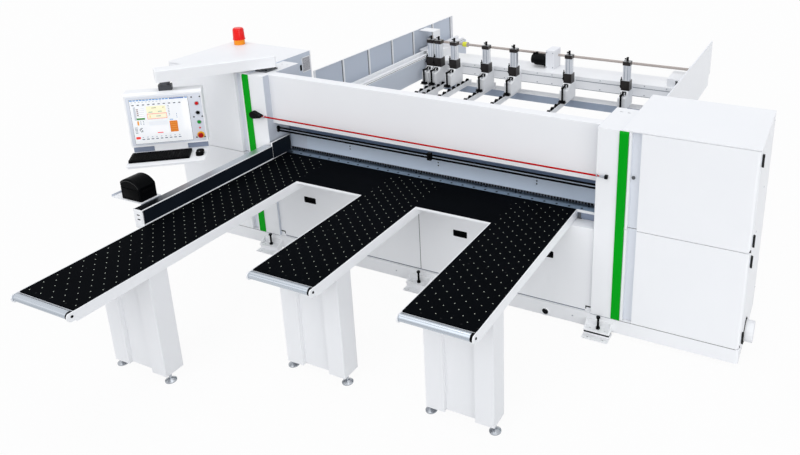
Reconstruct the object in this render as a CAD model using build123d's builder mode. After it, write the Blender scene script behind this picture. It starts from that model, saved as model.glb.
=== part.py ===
"""Front-loading beam saw with air tables, a saw unit under the table and a pusher with grippers behind.

Millimetres, Z up. X runs along the beam, Y runs from the operator to the back, and the origin lies on the floor
under the middle of the body.
"""

import os
from math import cos, radians, sin

from build123d import *

os.makedirs("parts", exist_ok=True)

# Body
opening_width = 3050
column_width = 181
column_depth = 483
cabinet_width = 947
body_depth = 874
floor_gap = 23
base_height = 118
column_top = 1690
cabinet_top = 1700
plate = 6
sheet = 4
corner_radius = 25
rear_edge = 8

# Doors
strip_width = 67
strip_height = 8
strip_overlap = 16
door_depth = 40
door_gap = 3
door_split = 930
door_corner = 28
hood_height = 8
groove_width = 74
groove_depth = 34
hinge_height = 90
hinge_radius = 8
hinge_inset = 78

# Cutting line
table_top = 935
table_thickness = 20
cut_line = -128
cut_gap = 12
strip_front = -283
pressure_front = -183
pressure_depth = 180
pressure_height = 212
pressure_lift = 100
lift_spacing = 2600

# Beam over the cutting line
cover_front = -362
cover_bottom = 1238
cover_flange = 90
bridge_front = -270
bridge_depth = 120
bridge_bottom = 1290
bridge_height = 310

# Saw unit
blade_diameter = 380
blade_thickness = 4.4
scoring_diameter = 160
saw_home = -1700
saw_lift = 105
saw_reach = 1930
scoring_offset = 285
arbor_radius = 18

# Air tables
table_width = 517
table_pitch = 1154
table_first = -1225
long_front = -2795
short_front = -1992
infill_front = -766
table_frame_height = 75
board_thickness = 10
roller_radius = 26
roller_reach = 28
roller_sink = 0.5
long_leg = -2195
short_leg = -1697
leg_width = 500
leg_depth = 150
post_width = 137
foot_height = 58
foot_radius = 40
foot_spacing = 474
foot_forward = 34

# Side fence and printer
fence_front = -1843
fence_back = -453
fence_width = 86
fence_top = 1056
fence_bottom = 905
stop_back = -218
stop_top = 1083
printer_width = 205
printer_depth = 150
printer_height = 167
printer_round = 12

# Control panel
pivot_x = -1640
pivot_y = -253
arm_heading = 35.7
arm_tail = 75
arm_length = 911
arm_width = 140
arm_height = 100
arm_bottom = 1725
panel_distance = 840
panel_yaw = 38.9
panel_width = 606
panel_height = 455
panel_depth = 120
panel_bottom = 1165
panel_shift = -20
tray_reach = 300
tray_top = 1110
button_column = 255

# Pusher and rear table
rail_inside = 1490
rail_width = 190
rail_bottom = 960
rail_top = 1195
rail_end = 3300
wall_bottom = 1108
wall_top = 1492
wall_pitch = 467
portal_front = 2437
portal_depth = 150
portal_bottom = 770
bar_bottom = 855
bar_width = 40
bar_end = 2537
wheel_radius = 25
wheel_pitch = 114
pusher_front = 2377
pusher_depth = 380
pusher_bottom = 1018
pusher_top = 1160
shaft_setback = 302
shaft_rise = 140
shaft_radius = 15
pinion_radius = 67.5
tooth_pitch = 25
tooth_height = 8
gripper_width = 84
lever_rod = 11
lever_elbow = 15
gripper_places = (-1405, -1304, -1097, -680, -331, 334, 989)
bar_places = (-1349, -1250, -1043, -714, -383, 284, 938)

# Clearances
seat = 0.1
slide_gap = 0.3
run_gap = 0.05

# Derived positions
column_in = opening_width / 2
column_out = column_in + column_width
cabinet_out = column_out + cabinet_width
front = -body_depth / 2
back = body_depth / 2
column_back = front + column_depth
base_top = floor_gap + base_height
bed_top = table_top - table_thickness
frame_bottom = table_top - table_frame_height
shaft_y = pusher_front + shaft_setback
shaft_z = pusher_top + shaft_rise


def block(x, y, z, mode=Mode.ADD):
    """Box between the two ends given along each axis."""
    with Locations(((x[0] + x[1]) / 2, (y[0] + y[1]) / 2, (z[0] + z[1]) / 2)):
        Box(x[1] - x[0], y[1] - y[0], z[1] - z[0], mode=mode)


def bar_x(radius, x, y, z, mode=Mode.ADD):
    """Round bar along X between the two ends x."""
    with Locations(((x[0] + x[1]) / 2, y, z)):
        Cylinder(radius, x[1] - x[0], rotation=(0, 90, 0), mode=mode)


def bar_y(radius, x, y, z, mode=Mode.ADD):
    """Round bar along Y between the two ends y."""
    with Locations((x, (y[0] + y[1]) / 2, z)):
        Cylinder(radius, y[1] - y[0], rotation=(90, 0, 0), mode=mode)


def bar_z(radius, x, y, z, mode=Mode.ADD):
    """Round bar along Z between the two heights z."""
    with Locations((x, y, (z[0] + z[1]) / 2)):
        Cylinder(radius, z[1] - z[0], mode=mode)


def outline(plane, points):
    """Flat face on a plane with straight edges through the points."""
    with BuildSketch(plane) as shape:
        with BuildLine():
            Polyline(*points, close=True)
        make_face()
    return shape.sketch


# Base frame
rail = 90
bays = [(60, column_in - 30), (column_out + 30, cabinet_out - rail)]
with BuildPart() as base_frame:
    with BuildSketch(Plane.XY.offset(floor_gap)):
        RectangleRounded(2 * cabinet_out, body_depth, corner_radius)
        for bay in bays:
            for side in (-1, 1):
                with Locations((side * (bay[0] + bay[1]) / 2, 0)):
                    Rectangle(bay[1] - bay[0], body_depth - 2 * rail, mode=Mode.SUBTRACT)
    extrude(amount=base_height)
base_frame.part.label = "base_frame"
export_step(base_frame.part, "parts/base_frame.step")

# Columns, with windows that let the saw unit run through
bed_back = column_back - plate - 4
sill = 300
saw_window = ((front + 36, -30), (230, 796))
arbor_nose = 24
arbor_window = ((cut_line - arbor_nose - 8, bed_back + 2), (sill, bed_top - 1))
blade_window = ((cut_line - 12, cut_line + 12), (bed_top - 20, table_top + saw_lift))
with BuildPart() as columns:
    block((column_in, column_out), (front, column_back), (base_top, column_top))
    fillet(columns.edges().filter_by(Axis.Z).group_by(Axis.Y)[0], plate)
    block(
        (column_in + plate, column_out - plate),
        (front + plate, column_back - plate),
        (base_top + plate, column_top - plate),
        Mode.SUBTRACT,
    )
    for y_span, z_span in (saw_window, arbor_window, blade_window):
        block((column_in - 1, column_out + 1), y_span, z_span, Mode.SUBTRACT)
    for place in (1, 2):
        slot_x = column_in + place * column_width / 3
        block((slot_x - 14, slot_x + 14), (-50, -38), (column_top - 20, column_top + 1), Mode.SUBTRACT)
    mirror(about=Plane.YZ)
columns.part.label = "columns"
export_step(columns.part, "parts/columns.step")

# Cabinets, open at the front, with hinge lugs and pins
jamb_out = column_out - strip_overlap + strip_width
door_in = jamb_out + door_gap
door_out = cabinet_out - door_gap
door_back = front + door_depth
cabinet_front = door_back + 2 * door_gap
hinge_x = cabinet_out + hinge_radius + 1
hinge_y = door_back + 1
pin_radius = 4
levels = {
    "lower": (base_top + door_gap, door_split - door_gap),
    "upper": (door_split + door_gap, cabinet_top - hood_height - door_gap),
}
lug = hinge_height / 2
knuckle = hinge_height / 4
with BuildPart() as cabinets:
    block((column_out, cabinet_out), (cabinet_front, back), (base_top, cabinet_top))
    fillet(cabinets.edges().filter_by(Axis.Z).group_by(Axis.X)[-1].sort_by(Axis.Y)[-1], rear_edge)
    block(
        (column_out + sheet, cabinet_out - sheet),
        (cabinet_front - 1, back - sheet),
        (base_top + sheet, cabinet_top - sheet),
        Mode.SUBTRACT,
    )
    block((column_out, jamb_out), (front, cabinet_front + 20), (base_top, cabinet_top))
    block((column_out, cabinet_out), (front, cabinet_front), (cabinet_top - hood_height, cabinet_top))
    fillet(cabinets.edges().filter_by(Axis.Z).group_by(Axis.X)[-1].sort_by(Axis.Y)[0], corner_radius)
    for y_span, z_span in (saw_window, arbor_window, blade_window):
        block((column_out - 1, column_out + sheet + 1), y_span, z_span, Mode.SUBTRACT)
    block((column_out, jamb_out + 1), (front + 36, cabinet_front + 21), saw_window[1], Mode.SUBTRACT)
    for low, high in levels.values():
        for middle in (low + hinge_inset, high - hinge_inset):
            for z_span in ((middle - lug, middle - knuckle), (middle + knuckle, middle + lug)):
                block((cabinet_out - 1, hinge_x), (cabinet_front, cabinet_front + 12), z_span)
                bar_z(hinge_radius, hinge_x, hinge_y + 6, z_span)
                block((hinge_x - 4, hinge_x + hinge_radius), (hinge_y - 4, hinge_y + 6), z_span)
            bar_z(pin_radius, hinge_x, hinge_y, (middle - lug, middle + lug))
    mirror(about=Plane.YZ)
cabinets.part.label = "cabinets"
export_step(cabinets.part, "parts/cabinets.step")

# Doors with a grip groove and hinge knuckles
grip_in = door_in + 17
for level, (low, high) in levels.items():
    with BuildPart() as right_door:
        with BuildSketch(Plane.XY.offset(low)) as door_plan:
            with Locations(((door_in + door_out) / 2, (front + door_back) / 2)):
                Rectangle(door_out - door_in, door_depth)
            fillet(door_plan.vertices().group_by(Axis.X)[-1].sort_by(Axis.Y)[0], corner_radius)
        extrude(amount=high - low)
        with BuildSketch(Plane.XZ.offset(-door_back)) as door_face:
            with Locations(((door_in + door_out) / 2, (low + high) / 2)):
                Rectangle(door_out - door_in, high - low)
            fillet(door_face.vertices().group_by(Axis.X)[-1], door_corner)
        extrude(amount=door_depth, mode=Mode.INTERSECT)
        block(
            (grip_in + groove_width + sheet, door_out - corner_radius),
            (front + sheet, door_back + 1),
            (low + sheet, high - sheet),
            Mode.SUBTRACT,
        )
        groove = (grip_in, grip_in + groove_width)
        block(groove, (front - 1, front + groove_depth), (low - 1, high + 1), Mode.SUBTRACT)
        for middle in (low + hinge_inset, high - hinge_inset):
            z_span = (middle - knuckle + 0.5, middle + knuckle - 0.5)
            block((door_out - 30, hinge_x), (hinge_y - hinge_radius, hinge_y - 1), z_span)
            bar_z(hinge_radius, hinge_x, hinge_y, z_span)
            bar_z(pin_radius + run_gap, hinge_x, hinge_y, z_span, Mode.SUBTRACT)
    right_door.part.label = f"right_{level}_door"
    export_step(right_door.part, f"parts/right_{level}_door.step")
    with BuildPart() as left_door:
        mirror(right_door.part, about=Plane.YZ)
    left_door.part.label = f"left_{level}_door"
    export_step(left_door.part, f"parts/left_{level}_door.step")

# Coloured corner strips
strip_in = column_out - strip_overlap
strip_profile = [
    (front - strip_height, base_top + 6),
    (front, base_top + 6),
    (front, column_top),
    (front - strip_height, column_top - 2 * strip_height),
]
with BuildPart() as corner_strips:
    extrude(outline(Plane.YZ.offset(strip_in), strip_profile), amount=strip_width)
    mirror(about=Plane.YZ)
corner_strips.part.label = "corner_strips"
export_step(corner_strips.part, "parts/corner_strips.step")

# Bridge beam between the columns
with BuildPart() as bridge_beam:
    with BuildSketch(Plane.YZ.offset(-column_in)):
        with Locations((bridge_front + bridge_depth / 2, bridge_bottom + bridge_height / 2)):
            RectangleRounded(bridge_depth, bridge_height, 2 * plate)
            Rectangle(bridge_depth - 4 * plate, bridge_height - 4 * plate, mode=Mode.SUBTRACT)
    extrude(amount=opening_width)
bridge_beam.part.label = "bridge_beam"
export_step(bridge_beam.part, "parts/bridge_beam.step")

# Sheet cover in front of the bridge beam
cover_back = cover_front + cover_flange
with BuildPart() as beam_cover:
    across = (-column_in, column_in)
    block(across, (cover_front, cover_front + sheet), (cover_bottom, column_top))
    block(across, (cover_front, cover_back), (column_top - sheet, column_top))
    block(across, (cover_front, cover_front + 34), (cover_bottom, cover_bottom + sheet))
    fillet(beam_cover.edges().filter_by(Axis.X).group_by(Axis.Y)[0], sheet)
beam_cover.part.label = "beam_cover"
export_step(beam_cover.part, "parts/beam_cover.step")

# Front panels of the bed with openings for the handle cups, and the rear panel
panel_back = front + 24
seam = -12
cup_width = 118
cup_height = 48
cup_middle = 568
cup_places = (-1151, -385, 378, 1136)
support_back = bed_back + 60
with BuildPart() as bed_panels:
    for x_span in ((-column_in, seam - 1.5), (seam + 1.5, column_in)):
        block(x_span, (panel_back, panel_back + 3), (base_top, frame_bottom - 2))
    for place in cup_places:
        block(
            (place - cup_width / 2, place + cup_width / 2),
            (panel_back - 1, panel_back + 4),
            (cup_middle - cup_height / 2, cup_middle + cup_height / 2),
            Mode.SUBTRACT,
        )
    block((-column_in + 45, column_in - 45), (support_back, support_back + 3), (base_top + 20, bar_bottom))
bed_panels.part.label = "bed_panels"
export_step(bed_panels.part, "parts/bed_panels.step")

# Saw bed: tubes between the columns and the linear rails of the saw carriage
tube_front = bed_back - 60
rail_depth = 17
rail_half = 10
upper_rail = 855
lower_rail = 360
front_tube_back = cut_line - 30
with BuildPart() as saw_bed:
    for z_span in ((sill, sill + 120), (bed_top - 115, bed_top - 3)):
        block((-saw_reach, saw_reach), (tube_front, bed_back), z_span)
        block(
            (-saw_reach - 1, saw_reach + 1),
            (tube_front + plate, bed_back - plate),
            (z_span[0] + plate, z_span[1] - plate),
            Mode.SUBTRACT,
        )
    block((-column_in, column_in), (strip_front, front_tube_back), (bed_top - 115, bed_top))
    block(
        (-column_in - 1, column_in + 1),
        (strip_front + plate, front_tube_back - plate),
        (bed_top - 115 + plate, bed_top - plate),
        Mode.SUBTRACT,
    )
    for height in (lower_rail, upper_rail):
        block(
            (-saw_reach, saw_reach),
            (tube_front - rail_depth, tube_front - seat),
            (height - rail_half, height + rail_half),
        )
saw_bed.part.label = "saw_bed"
export_step(saw_bed.part, "parts/saw_bed.step")

# Saw carriage on its rails
carriage_span = (saw_home - 200, saw_home + scoring_offset + 95)
carriage_front = tube_front - 40
block_front = carriage_front + 12
with BuildPart() as saw_carriage:
    block(carriage_span, (carriage_front, block_front), (lower_rail - 50, upper_rail + 35))
    for height in (lower_rail, upper_rail):
        for x_start in (carriage_span[0] + 15, carriage_span[1] - 125):
            x_span = (x_start, x_start + 110)
            block(x_span, (block_front, tube_front - 3), (height - 28, height + 28))
            block(
                (x_start - 1, x_start + 111),
                (tube_front - rail_depth - slide_gap, tube_front),
                (height - rail_half - slide_gap, height + rail_half + slide_gap),
                Mode.SUBTRACT,
            )
saw_carriage.part.label = "saw_carriage"
export_step(saw_carriage.part, "parts/saw_carriage.step")

# Saw head with arbor housings and motor
blade_top = table_top - 15
arbor_z = blade_top - blade_diameter / 2
scoring_x = saw_home + scoring_offset
scoring_z = blade_top - 85 - scoring_diameter / 2
head_back = carriage_front - slide_gap
head_front = head_back - 14
housing_front = cut_line + 18
motor_radius = 80
motor_z = arbor_z - blade_diameter / 2 - motor_radius - 20
with BuildPart() as saw_head:
    block(
        (saw_home - 170, scoring_x + 65),
        (head_front, head_back),
        (motor_z - motor_radius, arbor_z + 62),
    )
    for x, z in ((saw_home, arbor_z), (scoring_x, scoring_z)):
        bar_y(42, x, (housing_front, head_front), z)
        bar_y(arbor_radius + run_gap, x, (housing_front - 1, head_front - 1), z, Mode.SUBTRACT)
    bar_y(motor_radius, saw_home, (front + 60, head_front - seat), motor_z)
    bar_y(motor_radius - 18, saw_home, (front + 46, front + 61), motor_z)
    block(
        (saw_home + motor_radius - 10, saw_home + motor_radius + 45),
        (head_front - 170, head_front - 60),
        (motor_z - 45, motor_z + 45),
    )
saw_head.part.label = "saw_head"
export_step(saw_head.part, "parts/saw_head.step")

# Main blade and scoring blade with their flanges and arbors
blades = {
    "main_blade": (saw_home, arbor_z, blade_diameter / 2, 60, 28),
    "scoring_blade": (scoring_x, scoring_z, scoring_diameter / 2, 34, 20),
}
flange_back = housing_front - 2
for name, (x, z, radius, flange, teeth) in blades.items():
    with BuildPart() as blade:
        bar_y(radius, x, (cut_line - blade_thickness / 2, cut_line + blade_thickness / 2), z)
        with BuildSketch(Plane.XZ.offset(-cut_line - blade_thickness / 2 - 1)):
            with Locations((x, z)):
                with PolarLocations(radius, teeth):
                    RegularPolygon(radius * 0.05, 3, mode=Mode.ADD)
        extrude(amount=blade_thickness + 2, mode=Mode.SUBTRACT)
        bar_y(flange, x, (cut_line + blade_thickness / 2, flange_back), z)
        bar_y(flange, x, (cut_line - blade_thickness / 2 - 8, cut_line - blade_thickness / 2), z)
        bar_y(arbor_radius, x, (flange_back, head_front - 2), z)
        bar_y(arbor_radius, x, (cut_line - arbor_nose, cut_line), z)
    blade.part.label = name
    export_step(blade.part, f"parts/{name}.step")

# Table strip in front of the cut and the table behind it
strip_half = 1490
with BuildPart() as table_strip:
    block((-strip_half, strip_half), (strip_front, cut_line - cut_gap / 2), (bed_top, table_top))
table_strip.part.label = "table_strip"
export_step(table_strip.part, "parts/table_strip.step")

with BuildPart() as rear_table:
    block((-column_in, column_in), (cut_line + cut_gap / 2, bed_back), (bed_top - 3, table_top))
rear_table.part.label = "rear_table"
export_step(rear_table.part, "parts/rear_table.step")

# Air tables: frames with roller cheeks, and infill frames between them
table_half = table_width / 2
table_places = [table_first + number * table_pitch for number in range(3)]
table_fronts = [long_front, short_front, short_front]
leg_places = [long_leg, short_leg, short_leg]
roller_z = table_top - roller_radius - roller_sink
cheek = 8
cheek_radius = roller_radius + 8
pin = 10
inner_edge = 6
infills = [(table_places[n] + table_half, table_places[n + 1] - table_half) for n in range(2)]
boards = []
with BuildPart() as table_frames:
    for place, edge in zip(table_places, table_fronts):
        x_span = (place - table_half, place + table_half)
        block(x_span, (edge, strip_front), (frame_bottom, table_top))
        roller_y = edge - roller_reach
        for cheek_span in ((x_span[0], x_span[0] + cheek), (x_span[1] - cheek, x_span[1])):
            block(cheek_span, (roller_y, edge + 1), (roller_z - cheek_radius, table_top))
            bar_x(cheek_radius, cheek_span, roller_y, roller_z)
            above = (table_top, table_top + cheek_radius)
            block(cheek_span, (roller_y - cheek_radius, edge + 1), above, Mode.SUBTRACT)
            bar_x(pin + run_gap, cheek_span, roller_y, roller_z, Mode.SUBTRACT)
        block(
            (x_span[0] + sheet, x_span[1] - sheet),
            (edge + sheet, strip_front - sheet),
            (frame_bottom - 1, table_top - board_thickness - sheet),
            Mode.SUBTRACT,
        )
        boards.append(((x_span[0] + inner_edge, x_span[1] - inner_edge), (edge, strip_front)))
    for left, right in infills:
        infill_z = (table_top - board_thickness - inner_edge, table_top)
        block((left + seat, right - seat), (infill_front, strip_front), infill_z)
        boards.append(((left - inner_edge, right + inner_edge), (infill_front + inner_edge, strip_front)))
    for x_span, y_span in boards:
        pocket_z = (table_top - board_thickness, table_top + 1)
        block(x_span, (y_span[0], y_span[1] + 1), pocket_z, Mode.SUBTRACT)
table_frames.part.label = "table_frames"
export_step(table_frames.part, "parts/table_frames.step")

with BuildPart() as table_tops:
    for x_span, y_span in boards:
        block(
            (x_span[0] + slide_gap, x_span[1] - slide_gap),
            (y_span[0] + slide_gap, y_span[1] - slide_gap),
            (table_top - board_thickness, table_top),
        )
table_tops.part.label = "table_tops"
export_step(table_tops.part, "parts/table_tops.step")

# Front rollers
for name, place, edge in zip(("left", "middle", "right"), table_places, table_fronts):
    roller_y = edge - roller_reach
    reach = table_half - cheek - 1
    with BuildPart() as roller:
        bar_x(roller_radius, (place - reach, place + reach), roller_y, roller_z)
        bar_x(pin, (place - table_half + 1, place + table_half - 1), roller_y, roller_z)
    roller.part.label = f"{name}_roller"
    export_step(roller.part, f"parts/{name}_roller.step")

# Table legs: two box posts with a recessed panel between them
recess = 30
leg_top = table_top - board_thickness - sheet
with BuildPart() as table_legs:
    for place, middle in zip(table_places, leg_places):
        with BuildSketch(Plane.XY.offset(foot_height)) as leg_section:
            with Locations((place, middle)):
                Rectangle(leg_width, leg_depth)
                with Locations((0, -leg_depth / 2), (0, leg_depth / 2)):
                    Rectangle(leg_width - 2 * post_width, 2 * recess, mode=Mode.SUBTRACT)
        extrude(amount=leg_top - foot_height)
        with BuildSketch(Plane.XY.offset(foot_height + plate)):
            add(leg_section.sketch)
            offset(amount=-sheet, mode=Mode.REPLACE)
        extrude(amount=leg_top - foot_height - 2 * plate, mode=Mode.SUBTRACT)
table_legs.part.label = "table_legs"
export_step(table_legs.part, "parts/table_legs.step")

# Levelling feet under the legs and the portal, and jack bolts at the anchors
post_places = rail_inside + 95
portal_middle = portal_front + portal_depth / 2
feet = [(side * post_places, portal_middle) for side in (-1, 1)]
for place, middle in zip(table_places, leg_places):
    for side in (-1, 1):
        feet.append((place + side * foot_spacing / 2, middle - foot_forward))
anchor_places = [(x, side) for x in (-column_in - 79, 0, column_in + 79) for side in (-1, 1)]
jack_y = back + 42
jack_rise = 96
flange_top = 52
floor_plate = 10
with BuildPart() as levelling_feet:
    for x, y in feet:
        bar_z(foot_radius, x, y, (0, 8))
        with Locations((x, y, 8)):
            Cone(foot_radius, 14, 16, align=(Align.CENTER, Align.CENTER, Align.MIN))
        bar_z(10, x, y, (20, foot_height))
    for x, side in anchor_places:
        bar_z(9, x, side * jack_y, (floor_plate, flange_top + jack_rise))
        with BuildSketch(Plane.XY.offset(flange_top)):
            with Locations((x, side * jack_y)):
                RegularPolygon(17, 6)
        extrude(amount=15)
        with BuildSketch(Plane.XY.offset(flange_top + jack_rise)):
            with Locations((x, side * jack_y)):
                RegularPolygon(17, 6)
        extrude(amount=12)
levelling_feet.part.label = "levelling_feet"
export_step(levelling_feet.part, "parts/levelling_feet.step")

# Anchor brackets on the base and the plates bolted to the floor
bracket_half = 104
flange_reach = 83
plate_reach = 134
plate_hole = 7
hole_half = 60
hole_y = back + 113
gusset = 10
with BuildPart() as anchor_brackets:
    for x, side in anchor_places:
        x_span = (x - bracket_half, x + bracket_half)
        upright = sorted((side * back, side * (back + 12)))
        flange = sorted((side * back, side * (back + flange_reach)))
        block(x_span, upright, (flange_top - 12, 100))
        block(x_span, flange, (flange_top - 12, flange_top))
        ear = [
            (side * (back + 12), flange_top),
            (side * (back + flange_reach), flange_top),
            (side * (back + 12), 100),
        ]
        for start in (x_span[0], x_span[1] - gusset):
            extrude(outline(Plane.YZ.offset(start), ear), amount=gusset, dir=(1, 0, 0))
        block(x_span, sorted((side * (back + 4), side * (back + plate_reach))), (0, floor_plate))
        bar_z(9 + slide_gap, x, side * jack_y, (flange_top - 13, flange_top + 1), Mode.SUBTRACT)
        for shift in (-hole_half, hole_half):
            bar_z(plate_hole, x + shift, side * (back + 55), (flange_top - 13, flange_top + 1), Mode.SUBTRACT)
            bar_z(plate_hole, x + shift, side * hole_y, (-1, floor_plate + 1), Mode.SUBTRACT)
anchor_brackets.part.label = "anchor_brackets"
export_step(anchor_brackets.part, "parts/anchor_brackets.step")

# Side fence beside the long table, its black face and the taller stop plate
fence_in = table_places[0] - table_half
fence_out = fence_in - fence_width
face_depth = 3
fence_profile = [
    (fence_out, fence_bottom),
    (fence_in, fence_bottom),
    (fence_in, fence_top),
    (fence_out, fence_top),
]
face_span = (table_top + 7, fence_top - 6)
wall = 5
with BuildPart() as side_fence:
    extrude(outline(Plane.XZ.offset(-fence_back), fence_profile), amount=fence_back - fence_front)
    fillet(side_fence.edges().filter_by(Axis.Y).group_by(Axis.Z)[-1], 4)
    block(
        (fence_out + wall, fence_in - wall - face_depth),
        (fence_front + plate, fence_back + 1),
        (fence_bottom + wall, fence_top - wall),
        Mode.SUBTRACT,
    )
    groove = (fence_in - face_depth, fence_in + 1)
    block(groove, (fence_front + plate, fence_back + 1), face_span, Mode.SUBTRACT)
side_fence.part.label = "side_fence"
export_step(side_fence.part, "parts/side_fence.step")

with BuildPart() as fence_face:
    block((fence_in - face_depth, fence_in), (fence_front + plate, fence_back - 2), face_span)
    block((fence_in - 16, fence_in), (fence_back, stop_back), (table_top + 2, stop_top))
fence_face.part.label = "fence_face"
export_step(fence_face.part, "parts/fence_face.step")

# Shelf on the fence with the label printer
shelf_top = 1063
printer_middle = -1688
printer_right = fence_out - 15
printer_left = printer_right - printer_width
shelf_left = printer_left - 92
shelf_span = (printer_middle - 90, printer_middle + 90)
with BuildPart() as printer_shelf:
    block((shelf_left, fence_out), shelf_span, (shelf_top - 4, shelf_top))
    block((fence_out - 4, fence_out), shelf_span, (shelf_top - 110, shelf_top))
    rib = [(fence_out - 4, shelf_top - 110), (fence_out - 4, shelf_top - 4), (shelf_left + 20, shelf_top - 4)]
    extrude(outline(Plane.XZ.offset(-printer_middle - 2), rib), amount=4)
printer_shelf.part.label = "printer_shelf"
export_step(printer_shelf.part, "parts/printer_shelf.step")

lid_split = shelf_top + 95
printer_top = shelf_top + printer_height
printer_span = (printer_middle - printer_depth / 2, printer_middle + printer_depth / 2)
lid_front = 17
lid_back = 37
lid_pin_x = printer_left + 8
lid_pin_z = lid_split + 9
ear_width = 14
with BuildPart() as label_printer:
    block((printer_left, printer_right), printer_span, (shelf_top, lid_split))
    fillet(label_printer.edges().filter_by(Axis.Z), printer_round)
    block(
        (printer_left + 12, printer_right - 12),
        (printer_span[0] + 12, printer_span[1] - 12),
        (shelf_top + 12, lid_split + 1),
        Mode.SUBTRACT,
    )
    label_slot = (printer_middle - 56, printer_middle + 56)
    block((printer_right - 13, printer_right + 1), label_slot, (lid_split - 18, lid_split - 12), Mode.SUBTRACT)
    for side in (-1, 1):
        y_span = sorted((printer_middle + side * 30, printer_middle + side * (30 + ear_width)))
        block((printer_left + 2, printer_left + 14), y_span, (lid_split - 2, lid_pin_z))
        bar_y(6, lid_pin_x, y_span, lid_pin_z)
    bar_y(3, lid_pin_x, (printer_middle - 44, printer_middle + 44), lid_pin_z)
label_printer.part.label = "label_printer"
export_step(label_printer.part, "parts/label_printer.step")

with BuildPart() as printer_lid:
    with BuildSketch(Plane.XZ.offset(-printer_span[1])) as lid_profile:
        with BuildLine():
            Polyline(
                (printer_left, lid_split + slide_gap),
                (printer_right, lid_split + slide_gap),
                (printer_right, lid_split + lid_front),
            )
            ThreePointArc(
                (printer_right, lid_split + lid_front),
                (printer_left + printer_width * 0.4, printer_top),
                (printer_left, lid_split + lid_back),
            )
            Line((printer_left, lid_split + lid_back), (printer_left, lid_split + slide_gap))
        make_face()
        shoulders = lid_profile.vertices().group_by(Axis.Y)[1:]
        fillet([group[0] for group in shoulders], printer_round)
    extrude(amount=printer_depth)
    rims = printer_lid.edges().group_by(Axis.Y)
    fillet([edge for edge in rims[0] + rims[-1] if edge.center().Z > lid_split + 1], printer_round)
    with BuildSketch(Plane.XZ.offset(-printer_span[1] + 6)):
        add(lid_profile.sketch)
        offset(amount=-6, mode=Mode.REPLACE)
    extrude(amount=printer_depth - 12, mode=Mode.SUBTRACT)
    block(
        (printer_left + 6, printer_right - 6),
        (printer_span[0] + 6, printer_span[1] - 6),
        (lid_split, lid_split + 7),
        Mode.SUBTRACT,
    )
    block((printer_left - 1, printer_left + 18), printer_span, (lid_split, lid_pin_z), Mode.SUBTRACT)
    for side in (-1, 1):
        y_span = sorted((printer_middle + side * 29, printer_middle + side * (31 + ear_width)))
        block((printer_left - 1, printer_left + 18), y_span, (lid_split, lid_pin_z + 9), Mode.SUBTRACT)
    barrel_span = (printer_middle - 28, printer_middle + 28)
    block((printer_left, printer_left + 16), barrel_span, (lid_pin_z, lid_pin_z + 10))
    bar_y(8, lid_pin_x, barrel_span, lid_pin_z)
    bar_y(3 + run_gap, lid_pin_x, (printer_middle - 29, printer_middle + 29), lid_pin_z, Mode.SUBTRACT)
printer_lid.part.label = "printer_lid"
export_step(printer_lid.part, "parts/printer_lid.step")

# Stop rope across the front with its switch and end fittings
rope_y = front - 18
rope_z = 1324
rope_radius = 5
switch_tip = -column_in - 38
rope_end = column_in + 35
with BuildPart() as rope_fittings:
    with BuildSketch(Plane.XZ.offset(-front)):
        with Locations((switch_tip - 92, rope_z + 6)):
            Circle(33)
        with Locations((switch_tip - 11, rope_z)):
            Circle(11)
        make_hull()
    extrude(amount=42)
    for side in (-1, 1):
        x_span = sorted((side * (column_in + 10), side * (column_in + 18)))
        block(x_span, (rope_y, front), (rope_z - 6, rope_z + 6))
        bar_x(11, x_span, rope_y, rope_z)
        bar_x(rope_radius + slide_gap, (x_span[0] - 1, x_span[1] + 1), rope_y, rope_z, Mode.SUBTRACT)
    bar_x(8, (rope_end, rope_end + 44), rope_y, rope_z)
    block((rope_end + 36, rope_end + 60), (rope_y - 10, front), (rope_z - 12, rope_z + 12))
rope_fittings.part.label = "rope_fittings"
export_step(rope_fittings.part, "parts/rope_fittings.step")

with BuildPart() as stop_rope:
    bar_x(rope_radius, (switch_tip, rope_end), rope_y, rope_z)
stop_rope.part.label = "stop_rope"
export_step(stop_rope.part, "parts/stop_rope.step")

# Side aligner on two guide rods
guide_y = -313
guide_heights = (1153, 1180)
guide_radius = 8
with BuildPart() as guide_rods:
    for height in guide_heights:
        bar_x(guide_radius, (-column_in, column_in), guide_y, height)
        for x_span in ((-column_in, -column_in + 8), (column_in - 8, column_in)):
            bar_x(17, x_span, guide_y, height)
guide_rods.part.label = "guide_rods"
export_step(guide_rods.part, "parts/guide_rods.step")

aligner_x = 55
with BuildPart() as side_aligner:
    clamp_span = (guide_heights[0] - 18, guide_heights[1] + 18)
    block((aligner_x - 18, aligner_x + 18), (guide_y - 16, guide_y + 16), clamp_span)
    for height in guide_heights:
        bar_x(guide_radius + run_gap, (aligner_x - 19, aligner_x + 19), guide_y, height, Mode.SUBTRACT)
    bar_y(9, aligner_x, (guide_y - 34, guide_y - 15), (guide_heights[0] + guide_heights[1]) / 2)
side_aligner.part.label = "side_aligner"
export_step(side_aligner.part, "parts/side_aligner.step")

# Lift cylinders behind the bridge beam
lift_radius = 40
lift_bore = 32
lift_rod = 12
bridge_back = bridge_front + bridge_depth
lift_y = bridge_back + lift_radius
lift_span = (bridge_bottom, bridge_bottom + bridge_height - 10)
with BuildPart() as lift_cylinders:
    for side in (-1, 1):
        x = side * lift_spacing / 2
        bar_z(lift_radius, x, lift_y, lift_span)
        block((x - 34, x + 34), (bridge_back, lift_y), (lift_span[0] + 40, lift_span[1] - 40))
        bar_z(lift_bore, x, lift_y, (lift_span[0] + 12, lift_span[1] - 12), Mode.SUBTRACT)
        bar_z(lift_rod + run_gap, x, lift_y, (lift_span[0] - 1, lift_span[0] + 13), Mode.SUBTRACT)
lift_cylinders.part.label = "lift_cylinders"
export_step(lift_cylinders.part, "parts/lift_cylinders.step")

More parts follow.
